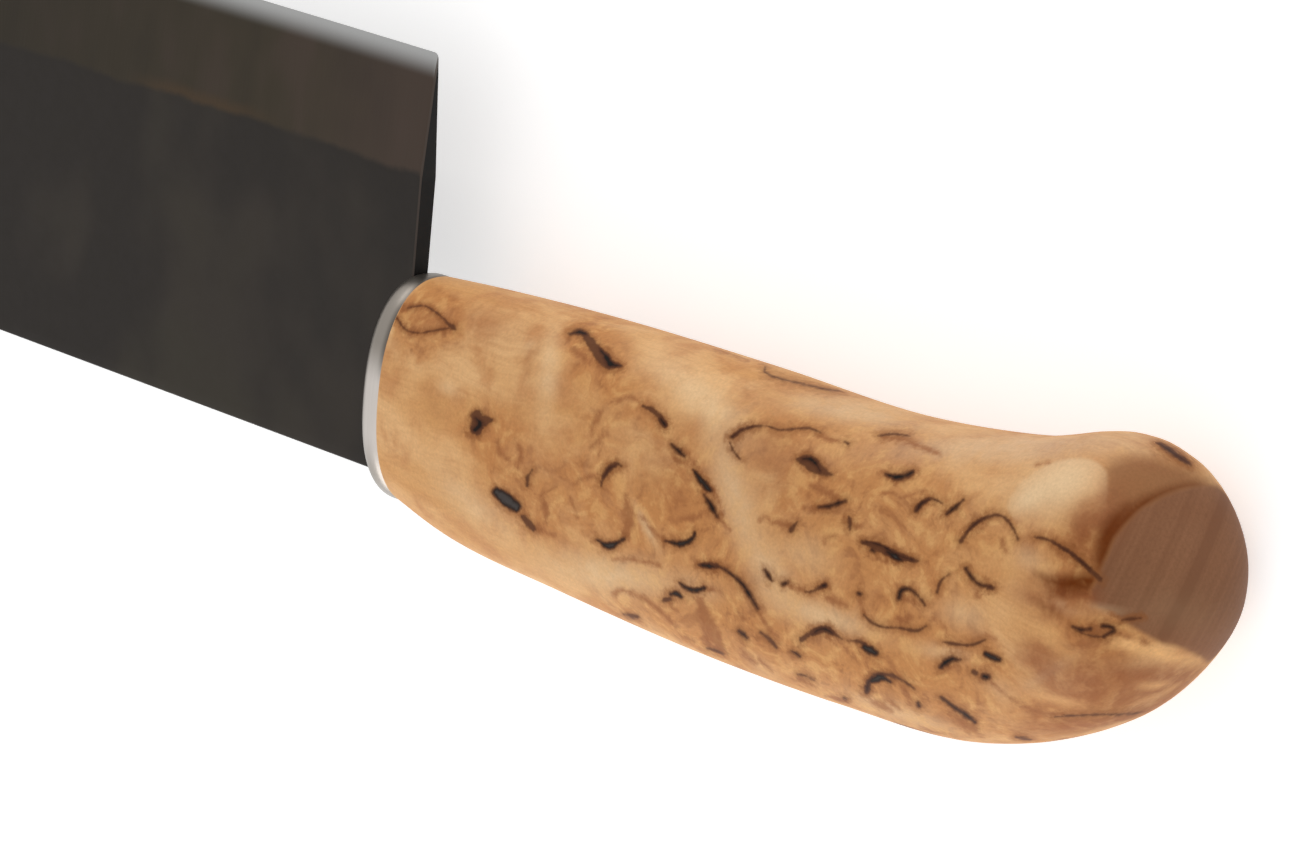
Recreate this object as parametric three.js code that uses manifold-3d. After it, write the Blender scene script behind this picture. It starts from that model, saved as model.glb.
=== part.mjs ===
// Santoku kitchen knife: a forged blade with a hidden stick tang, a slotted ferrule and a carved handle.
// It lies on its left side. +X runs to the tip, +Y to the spine and +Z up, out of the right face.
// Sizes are millimetres from the ferrule's front face, x = 0, and from the handle's axis, y = 0 and z = 0.
import * as THREE from "three";
import { mergeVertices } from "three/addons/utils/BufferGeometryUtils.js";
import Module from "manifold-3d";

const wasm = await Module();
wasm.setup();

// Blade outline
const bladeLength = 175;
const spineHeight = 11; // spine above the axis
const heelDepth = 37.2; // cutting edge at the heel, below the axis
const tipRise = 9; // tip above the line of the heel's edge
const bellyPower = 3; // how late the edge starts to curve up
const noseLength = 62; // length over which the spine drops to the tip
const noseReach = 32; // how far the nose runs on in line with the spine
const tipLean = 9; // the nose's last slope: this far along X
const tipDrop = 24; // for this far down

// Blade thickness and grind
const heelStock = 2.4;
const tipStock = 1.6; // what the flats taper to over the blade's length
const bevelWidth = 13.4; // the broad ground bevel
const edgeWidth = 1.8; // the honed bevel along the edge
const edgeStock = 0.5; // thickness where the honed bevel starts
const spineEase = 0.3; // chamfer on the spine's corners
const grindShare = 0.85; // most of the height that the bevel takes towards the tip

// Tang
const tangLength = 68;
const tangHeight = 11;
const tangEndHeight = 6;
const tangStock = 2.2;
const tangPoint = 4; // chamfer on the tang's end
const tangRoot = 4; // how deep the tang is rooted in the blade

// Ferrule
const ferruleThickness = 2.7;
const ferruleEase = 0.5; // rounding of the rim

// Handle
const handleLength = 112.4; // ferrule included
const gripHeight = 32; // at its highest
const gripWidth = 25; // at its widest
const domeLength = 8.6; // softly domed butt
const sideRoundness = 2.3; // 2 is an ellipse, more has flatter sides
// Sections along the handle, as shares of its length, height and width:
// back is the spine side and belly the edge side of the axis, half is the half width
const gripStations = [
  { along: 0.0, back: 0.39, belly: 0.39, half: 0.3 },
  { along: 0.1, back: 0.475, belly: 0.419, half: 0.352 },
  { along: 0.25, back: 0.509, belly: 0.447, half: 0.404 },
  { along: 0.45, back: 0.534, belly: 0.459, half: 0.448 },
  { along: 0.63, back: 0.522, belly: 0.459, half: 0.476 },
  { along: 0.78, back: 0.481, belly: 0.528, half: 0.488 },
  { along: 0.9, back: 0.319, belly: 0.628, half: 0.5 },
  { along: 1.0, back: 0.053, belly: 0.422, half: 0.5 },
];

// Fits
const fitGap = 0.3; // clearance round the tang and round the adhesive
const glueFilm = 0.8; // adhesive between tang and wood
const mortiseSpare = 3; // mortise past the tang's end

// Finishes
const forgedSteel = { color: 0x3b3733, roughness: 0.5, metalness: 0.9 };
const nickelSilver = { color: 0xbdb6ae, roughness: 0.35, metalness: 1 };
const curlyBirch = { color: 0xc0905f, roughness: 0.45, metalness: 0 };
const curedEpoxy = { color: 0xd8c79a, roughness: 0.4, metalness: 0 };

// Facets
const gripSides = 48;
const gripSteps = 34;
const domeSteps = 9;
const poleGap = 0.4; // share of a dome step that the last ring stops short of the pole
const rimSteps = 4;
const spineSteps = 8;
const noseSteps = 22;
const tipGap = 0.3; // share of a nose step that the last ring stops short of the point
const slotSegments = 8;

// Closed skin over rings of equal count, which run towards +X, each counter-clockwise seen from its +X end
function loft(rings) {
  const sides = rings[0].length;
  const last = (rings.length - 1) * sides;
  const index = [];
  for (let start = 0; start < last; start += sides) {
    for (let i = 0; i < sides; i++) {
      const here = start + i;
      const next = start + ((i + 1) % sides);
      index.push(here, next, here + sides, next, next + sides, here + sides);
    }
  }
  for (let i = 1; i + 1 < sides; i++) {
    index.push(0, i + 1, i, last, last + i, last + i + 1);
  }
  const geometry = new THREE.BufferGeometry().setFromPoints(rings.flat());
  geometry.setIndex(index);
  return geometry;
}

// Solid made of a closed geometry, for joining and cutting
function solidOf(geometry) {
  const bare = new THREE.BufferGeometry();
  bare.setAttribute("position", geometry.getAttribute("position"));
  bare.setIndex(geometry.getIndex());
  const merged = mergeVertices(bare);
  const vertProperties = new Float32Array(merged.getAttribute("position").array);
  const triVerts = new Uint32Array(merged.getIndex().array);
  return new wasm.Manifold(new wasm.Mesh({ numProp: 3, vertProperties, triVerts }));
}

// Named mesh made of a solid
function piece(name, solid, finish) {
  const { vertProperties, triVerts } = solid.getMesh();
  const geometry = new THREE.BufferGeometry();
  geometry.setAttribute("position", new THREE.BufferAttribute(vertProperties, 3));
  geometry.setIndex(new THREE.BufferAttribute(triVerts, 1));
  geometry.computeVertexNormals();
  const mesh = new THREE.Mesh(geometry, new THREE.MeshStandardMaterial(finish));
  mesh.name = name;
  return mesh;
}

// Cutting edge: straight at the heel, then rising to the tip
function edgeAt(x) {
  return -heelDepth + tipRise * (x / bladeLength) ** bellyPower;
}

// Blade section at x under a spine at height top: eased spine, flats, broad bevels and honed edge
function bladeRing(x, top) {
  const edge = edgeAt(x);
  const height = top - edge;
  const run = Math.min(bevelWidth, grindShare * height);
  const hone = Math.min(edgeWidth, run * (edgeWidth / bevelWidth));
  const slope = (heelStock - edgeStock) / 2 / (bevelWidth - edgeWidth);
  const honed = (edgeStock / 2) * (hone / edgeWidth);
  const tapered = THREE.MathUtils.lerp(heelStock, tipStock, x / bladeLength) / 2;
  const flat = Math.min(tapered, honed + (run - hone) * slope);
  const ease = Math.min(spineEase, flat / 2, (height - run) / 2);
  const right = [
    [top, flat - ease],
    [top - ease, flat],
    [edge + run, flat],
    [edge + hone, honed],
  ];
  const left = right.toReversed().map(([y, z]) => [y, -z]);
  return [...right, [edge, 0], ...left].map(([y, z]) => new THREE.Vector3(x, y, z));
}

// Blade body, from the heel to just short of the tip's point
function bladeBody() {
  const noseStart = bladeLength - noseLength;
  const tip = new THREE.Vector2(bladeLength, edgeAt(bladeLength));
  const nose = new THREE.CubicBezierCurve(
    new THREE.Vector2(noseStart, spineHeight),
    new THREE.Vector2(noseStart + noseReach, spineHeight),
    new THREE.Vector2(tip.x - tipLean, tip.y + tipDrop),
    tip,
  );
  const rings = [];
  for (let i = 0; i < spineSteps; i++) {
    rings.push(bladeRing((noseStart * i) / spineSteps, spineHeight));
  }
  for (let i = 0; i <= noseSteps; i++) {
    const point = nose.getPoint(Math.min(i, noseSteps - tipGap) / noseSteps);
    rings.push(bladeRing(point.x, point.y));
  }
  return solidOf(loft(rings));
}

// Tapered stick tang with a chamfered end, grown on every side by grow
function tang(grow) {
  const section = (x, height) => {
    const y = height / 2 + grow;
    const z = tangStock / 2 + grow;
    return [[y, z], [-y, z], [-y, -z], [y, -z]].map(([py, pz]) => new THREE.Vector3(x, py, pz));
  };
  return solidOf(loft([
    section(-tangLength - grow, tangEndHeight - tangPoint),
    section(tangPoint - tangLength - grow, tangEndHeight),
    section(0, tangHeight),
    section(tangRoot, tangHeight),
  ]));
}

// Smooth run of back, belly and half width along the handle
const stationDepths = gripStations.map((station) => station.along * handleLength);
const stationSizes = gripStations.map(({ back, belly, half }) => [
  back * gripHeight,
  belly * gripHeight,
  half * gripWidth,
]);
const gripCurve = new THREE.CubicInterpolant(stationDepths, stationSizes.flat(), stationSizes[0].length);

// Handle section at depth behind the ferrule's front, drawn in on every side by inset and scaled by size.
// It starts half a step round, so that a facet lies along the middle of each side.
function gripRing(depth, inset = 0, size = 1) {
  const [back, belly, half] = gripCurve.evaluate(depth);
  const centre = (back - belly) / 2;
  const tall = ((back + belly) / 2 - inset) * size;
  const wide = (half - inset) * size;
  const superEllipse = (part) => Math.sign(part) * Math.abs(part) ** (2 / sideRoundness);
  const step = (2 * Math.PI) / gripSides;
  const ring = [];
  for (let i = 0; i < gripSides; i++) {
    const angle = step * i + step / 2;
    const y = centre + tall * superEllipse(Math.cos(angle));
    const z = wide * superEllipse(Math.sin(angle));
    ring.push(new THREE.Vector3(-depth, y, z));
  }
  return ring;
}

// Handle body, from the domed butt forward to the ferrule's back face
function gripBody() {
  const domeStart = handleLength - domeLength;
  const rings = [];
  for (let i = domeSteps; i > 0; i--) {
    const angle = (Math.PI / 2) * (i / (domeSteps + poleGap));
    rings.push(gripRing(domeStart + domeLength * Math.sin(angle), 0, Math.cos(angle)));
  }
  for (let i = gripSteps; i >= 0; i--) {
    rings.push(gripRing(THREE.MathUtils.lerp(ferruleThickness, domeStart, i / gripSteps)));
  }
  return solidOf(loft(rings));
}

// Ferrule plate in the handle's own outline, with a rounded rim towards the blade
function ferrulePlate() {
  const rings = [gripRing(ferruleThickness)];
  for (let i = 0; i <= rimSteps; i++) {
    const angle = (Math.PI / 2) * (i / rimSteps);
    rings.push(gripRing(ferruleEase * (1 - Math.sin(angle)), ferruleEase * (1 - Math.cos(angle))));
  }
  return solidOf(loft(rings));
}

// Round-ended slot along X, centred on the axis
function slot(height, width, fromX, toX) {
  const radius = width / 2;
  const straight = height / 2 - radius;
  const outline = new THREE.Shape();
  outline.absarc(0, straight, radius, 0, Math.PI);
  outline.absarc(0, -straight, radius, Math.PI, 2 * Math.PI);
  const geometry = new THREE.ExtrudeGeometry(outline, {
    depth: toX - fromX,
    bevelEnabled: false,
    curveSegments: slotSegments,
  });
  geometry.deleteAttribute("normal");
  geometry.deleteAttribute("uv");
  geometry.rotateY(Math.PI / 2).translate(fromX, 0, 0);
  return solidOf(mergeVertices(geometry));
}

const bedHeight = tangHeight + 2 * (fitGap + glueFilm);
const bedWidth = tangStock + 2 * (fitGap + glueFilm);
const mortiseEnd = -tangLength - mortiseSpare;
const tangRoom = tang(fitGap);
const mortise = slot(bedHeight + 2 * fitGap, bedWidth + 2 * fitGap, mortiseEnd, 0);
const glue = slot(bedHeight, bedWidth, mortiseEnd + fitGap, -ferruleThickness);

const knife = new THREE.Group();
knife.add(piece("blade", bladeBody().add(tang(0)), forgedSteel));
knife.add(piece("ferrule", ferrulePlate().subtract(tangRoom), nickelSilver));
knife.add(piece("handle", gripBody().subtract(mortise), curlyBirch));
knife.add(piece("epoxy_bed", glue.subtract(tangRoom), curedEpoxy));

// The origin goes to the middle of the knife's footprint, on the surface that it lies on
const box = new THREE.Box3().setFromObject(knife);
const middle = box.getCenter(new THREE.Vector3());
knife.position.set(-middle.x, -middle.y, -box.min.z);

const group = new THREE.Group();
group.add(knife);

export default group;
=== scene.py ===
import math
import bpy
import numpy as np
from mathutils import Matrix, Vector, noise


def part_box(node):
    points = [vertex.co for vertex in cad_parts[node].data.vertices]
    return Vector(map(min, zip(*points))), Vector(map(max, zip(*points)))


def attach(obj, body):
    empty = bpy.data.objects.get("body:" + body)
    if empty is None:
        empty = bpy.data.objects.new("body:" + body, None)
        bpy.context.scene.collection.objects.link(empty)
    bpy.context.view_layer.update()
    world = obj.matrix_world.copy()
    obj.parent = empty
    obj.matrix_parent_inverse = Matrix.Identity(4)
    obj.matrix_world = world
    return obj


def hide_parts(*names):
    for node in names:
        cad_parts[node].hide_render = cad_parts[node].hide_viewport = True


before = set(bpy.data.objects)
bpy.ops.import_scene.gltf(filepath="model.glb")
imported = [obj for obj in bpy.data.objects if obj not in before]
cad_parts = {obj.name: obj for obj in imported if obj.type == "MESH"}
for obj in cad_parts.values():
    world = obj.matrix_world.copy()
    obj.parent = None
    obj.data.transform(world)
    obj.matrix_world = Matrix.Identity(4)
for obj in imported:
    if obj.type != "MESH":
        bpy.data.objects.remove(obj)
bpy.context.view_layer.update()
bpy.ops.object.select_all(action="DESELECT")
mm = 0.001

# Where the knife's own origin is: the middle of the ferrule's front face, on the handle's axis
spineAboveAxis = 11 * mm
bladeLow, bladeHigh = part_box("blade")
ferruleLow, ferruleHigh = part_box("ferrule")
home = Vector((ferruleHigh.x, bladeHigh.y - spineAboveAxis, (bladeLow.z + bladeHigh.z) / 2))


def linear(hexColour):
    channels = [int(hexColour[i:i + 2], 16) / 255 for i in (1, 3, 5)]
    return [c / 12.92 if c <= 0.04045 else ((c + 0.055) / 1.055) ** 2.4 for c in channels] + [1]


# Node settings that the materials share. A pattern's scale is 1000 over its size in millimetres.
smooth = {"interpolation_type": "SMOOTHSTEP"}
rgba = {"data_type": "RGBA"}
plus = {"operation": "ADD"}
minus = {"operation": "SUBTRACT"}
times = {"operation": "MULTIPLY"}
scaled = {"operation": "SCALE"}
absolute = {"operation": "ABSOLUTE"}


def addNode(tree, kind, settings=None, **inputs):
    # an input named i6 is socket number 6, others go by their own names with _ for a space,
    # and a node given as a value is linked by the first of its outputs that is in use
    node = tree.nodes.new("ShaderNode" + kind)
    for name, value in (settings or {}).items():
        setattr(node, name, value)
    for name, value in inputs.items():
        numbered = name[0] == "i" and name[1:].isdigit()
        socket = node.inputs[int(name[1:]) if numbered else name.replace("_", " ")]
        if isinstance(value, bpy.types.Node):
            value = next(output for output in value.outputs if output.enabled)
        if isinstance(value, bpy.types.NodeSocket):
            tree.links.new(value, socket)
        else:
            socket.default_value = value
    return node


def newMaterial(name):
    material = bpy.data.materials.new(name)
    material.use_nodes = True
    material.node_tree.nodes.clear()
    return material, material.node_tree


def finishPiece(piece, name, node, material):
    piece.name = name
    piece.data.name = name
    piece.data.materials.clear()
    piece.data.materials.append(material)
    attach(piece, "root")
    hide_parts(node)
    print(name, "faces", len(piece.data.polygons))


def pointsOf(mesh):
    points = np.empty(len(mesh.vertices) * 3)
    mesh.vertices.foreach_get("co", points)
    return points.reshape(-1, 3)


def storeAttribute(mesh, name, values):
    attribute = mesh.attributes.new(name, "FLOAT", "POINT")
    attribute.data.foreach_set("value", np.asarray(values, dtype=np.float32))


# Camera: behind the butt, turned so that the cutting edge is at the top of the picture
photo = dict(width=1304, height=868, focal=6000)  # pixels
viewpoint = dict(
    place=(-448.46, -178.23, 454.7),  # mm from the ferrule's front
    aim=(-20.2, 3.24, -17.84),
    roll=101.36,  # degrees
    sensor=36,  # mm
)

eye = home + Vector(viewpoint["place"]) * mm
lookBack = (eye - home - Vector(viewpoint["aim"]) * mm).normalized()
levelSide = Vector((0, 0, 1)).cross(lookBack).normalized()
levelUp = lookBack.cross(levelSide)
roll = math.radians(viewpoint["roll"])
pictureUp = levelUp * math.cos(roll) + levelSide * math.sin(roll)
pictureRight = pictureUp.cross(lookBack)

bpy.ops.object.camera_add()
camera = bpy.context.object
camera.name = "photoCamera"
cameraTurn = Matrix((pictureRight, pictureUp, lookBack)).transposed()
camera.matrix_world = Matrix.Translation(eye) @ cameraTurn.to_4x4()
camera.data.sensor_fit = "HORIZONTAL"
camera.data.sensor_width = viewpoint["sensor"]
camera.data.lens = viewpoint["sensor"] * photo["focal"] / photo["width"]
bpy.context.scene.camera = camera


def photoPlane(points):
    # pixel places in the photo's frame, and how many pixels a millimetre takes there
    rel = points - np.array(eye)
    depth = rel @ -np.array(lookBack)
    x = photo["width"] / 2 + photo["focal"] * (rel @ np.array(pictureRight)) / depth
    y = photo["height"] / 2 - photo["focal"] * (rel @ np.array(pictureUp)) / depth
    return np.stack([x, y], axis=1), photo["focal"] * mm / depth


print("camera set")

# Studio: white floor, even white surroundings and a soft lamp on each side of the knife
studio = dict(
    floorSize=8,  # metres
    floorColour="#f4f4f4",
    floorLift=0.46,  # how much of the white the camera sees beyond what the lamps give
    around=0.6,  # light from the surroundings
    lampSize=(1.2, 0.6),  # metres
    lamps=dict(  # places in metres, power in watts
        spineSoftBox=dict(place=(0.02, 0.95, 0.36), power=6.6),
        edgeSoftBox=dict(place=(0.02, -0.95, 0.36), power=4.8),
    ),
)


def seenRays(tree):
    # 1 for the rays that the camera sees: straight ones, reflections and what shines through
    rays = addNode(tree, "LightPath").outputs
    seen = addNode(tree, "Math", plus, i0=rays["Is Camera Ray"], i1=rays["Is Glossy Ray"])
    return addNode(tree, "Math", plus, i0=seen, i1=rays["Is Transmission Ray"])


bpy.ops.mesh.primitive_plane_add(size=studio["floorSize"])
floor = bpy.context.object
floor.name = "studioFloor"
floorMaterial, tree = newMaterial("mattWhiteBoard")
lift = addNode(tree, "MapRange", Value=seenRays(tree), To_Max=studio["floorLift"])
board = addNode(tree, "BsdfDiffuse", Color=linear(studio["floorColour"]))
glow = addNode(tree, "Emission", Color=(1, 1, 1, 1), Strength=lift)
floorShader = addNode(tree, "AddShader", i0=board, i1=glow)
addNode(tree, "OutputMaterial", Surface=floorShader)
floor.data.materials.append(floorMaterial)

world = bpy.data.worlds.new("whiteStudio")
bpy.context.scene.world = world
world.use_nodes = True
tree = world.node_tree
tree.nodes.clear()
level = addNode(tree, "MapRange", Value=seenRays(tree), To_Min=studio["around"])
sky = addNode(tree, "Background", Color=(1, 1, 1, 1), Strength=level)
addNode(tree, "OutputWorld", Surface=sky)

for name, spec in studio["lamps"].items():
    lampPlace = Vector(spec["place"])
    lampTurn = lampPlace.to_track_quat("Z", "Y").to_euler()
    bpy.ops.object.light_add(type="AREA", location=lampPlace, rotation=lampTurn)
    lamp = bpy.context.object
    lamp.name = name
    lamp.data.shape = "RECTANGLE"
    lamp.data.size, lamp.data.size_y = studio["lampSize"]
    lamp.data.energy = spec["power"]
bpy.context.scene.view_settings.view_transform = "Standard"
print("studio set")

# Handle: carved block on the solid's own sections
handleSpec = dict(
    sides=56,  # points round a section
    roundness=2.3,  # 2 is an ellipse, more has flatter sides
    longStep=2.2 * mm,  # sections further apart than this get one more between them
    buttSpan=14,  # quads across the closed end of the butt
    smoothing=1,  # subdivision levels
    fullRing=40,  # a section of the solid has at least this many points
    mortiseGap=0.3 * mm,  # round the adhesive
    mortiseLead=1 * mm,  # how far the mortise's cutter stands out of the front
    sharpAngle=35,  # degrees, edges sharper than this stay crisp
)


def handleSections():
    # x, middle, half height and half width of each ring of the solid, from the ferrule to the butt
    pointDigits, ringDigits = 7, 6  # decimals of a metre that tell points and rings apart
    points = np.unique(pointsOf(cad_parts["handle"].data).round(pointDigits), axis=0)
    places = points[:, 0].round(ringDigits)
    sections = []
    for x in np.unique(places)[::-1]:
        ring = points[places == x]
        if len(ring) < handleSpec["fullRing"]:
            continue  # the mortise's end
        low, high = ring[:, 1].min(), ring[:, 1].max()
        sections.append((x, (low + high) / 2, (high - low) / 2, np.abs(ring[:, 2] - home.z).max()))
    return sections


def sectionRing(sides, roundness):
    # a circle pushed out to the handle's section, one unit in half height and half width
    bpy.ops.mesh.primitive_circle_add(vertices=sides, radius=1, rotation=(0, math.pi / 2, 0))
    bpy.ops.object.transform_apply(rotation=True)
    ring = bpy.context.object
    for vertex in ring.data.vertices:
        y, z = vertex.co.y, vertex.co.z
        vertex.co.x = 0
        vertex.co.y = math.copysign(abs(y) ** (2 / roundness), y)
        vertex.co.z = math.copysign(abs(z) ** (2 / roundness), z)
    return ring


def extrudeThrough(sections):
    # sections are x, middle, half height and half width; the first one sizes the unit ring
    bpy.ops.object.mode_set(mode="EDIT")
    bpy.ops.mesh.select_mode(type="VERT")
    bpy.ops.mesh.select_all(action="SELECT")
    x, middle, tall, wide = sections[0]
    bpy.ops.transform.resize(value=(1, tall, wide), center_override=(0, 0, 0))
    bpy.ops.transform.translate(value=(x, middle, home.z))
    for nextX, nextMiddle, nextTall, nextWide in sections[1:]:
        step = (nextX - x, nextMiddle - middle, 0)
        bpy.ops.mesh.extrude_region_move(TRANSFORM_OT_translate={"value": step})
        grow = (1, nextTall / tall, nextWide / wide)
        bpy.ops.transform.resize(value=grow, center_override=(nextX, nextMiddle, home.z))
        x, middle, tall, wide = nextX, nextMiddle, nextTall, nextWide


def applyModifier(piece, kind, **settings):
    modifier = piece.modifiers.new(kind.title(), kind)
    for name, value in settings.items():
        setattr(modifier, name, value)
    bpy.context.view_layer.objects.active = piece
    bpy.ops.object.modifier_apply(modifier=modifier.name)


def cutWith(piece, cutter, operation="DIFFERENCE"):
    applyModifier(piece, "BOOLEAN", object=cutter, operation=operation, solver="EXACT")
    bpy.data.objects.remove(cutter)


def boxBetween(low, high):
    bpy.ops.object.select_all(action="DESELECT")
    bpy.ops.mesh.primitive_cube_add(size=1, location=(Vector(low) + Vector(high)) / 2)
    box = bpy.context.object
    box.scale = Vector(high) - Vector(low)
    bpy.ops.object.transform_apply(location=True, rotation=True, scale=True)
    return box


def closeEnds():
    # caps on the open rings of the active piece
    bpy.ops.object.mode_set(mode="EDIT")
    bpy.ops.mesh.select_mode(type="EDGE")
    bpy.ops.mesh.select_all(action="DESELECT")
    bpy.ops.mesh.select_non_manifold()
    bpy.ops.mesh.edge_face_add()
    bpy.ops.mesh.select_all(action="SELECT")
    bpy.ops.mesh.normals_make_consistent(inside=False)
    bpy.ops.object.mode_set(mode="OBJECT")


def smoothShade(piece, angle):
    bpy.ops.object.select_all(action="DESELECT")
    piece.select_set(True)
    bpy.context.view_layer.objects.active = piece
    bpy.ops.object.shade_smooth_by_angle(angle=math.radians(angle))


def makeHandle():
    spec = handleSpec
    bpy.ops.object.select_all(action="DESELECT")
    handle = sectionRing(spec["sides"], spec["roundness"])
    extrudeThrough(handleSections())
    bpy.ops.mesh.fill_grid(span=spec["buttSpan"])
    bpy.ops.mesh.select_all(action="DESELECT")
    bpy.ops.object.mode_set(mode="OBJECT")
    vertices = handle.data.vertices
    for edge in handle.data.edges:
        a, b = (vertices[i].co for i in edge.vertices)
        edge.select = abs(a.x - b.x) > spec["longStep"]
    bpy.ops.object.mode_set(mode="EDIT")
    bpy.ops.mesh.select_mode(type="EDGE")
    bpy.ops.mesh.subdivide(number_cuts=1)
    bpy.ops.object.mode_set(mode="OBJECT")
    applyModifier(handle, "SUBSURF", levels=spec["smoothing"], render_levels=spec["smoothing"])
    closeEnds()
    low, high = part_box("epoxy_bed")
    gap = spec["mortiseGap"]
    mortise = boxBetween(low - Vector((gap, gap, gap)), high + Vector((spec["mortiseLead"], gap, gap)))
    cutWith(handle, mortise)
    smoothShade(handle, spec["sharpAngle"])
    return handle


handle = makeHandle()
print("handle modelled", len(handle.data.vertices))

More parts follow.
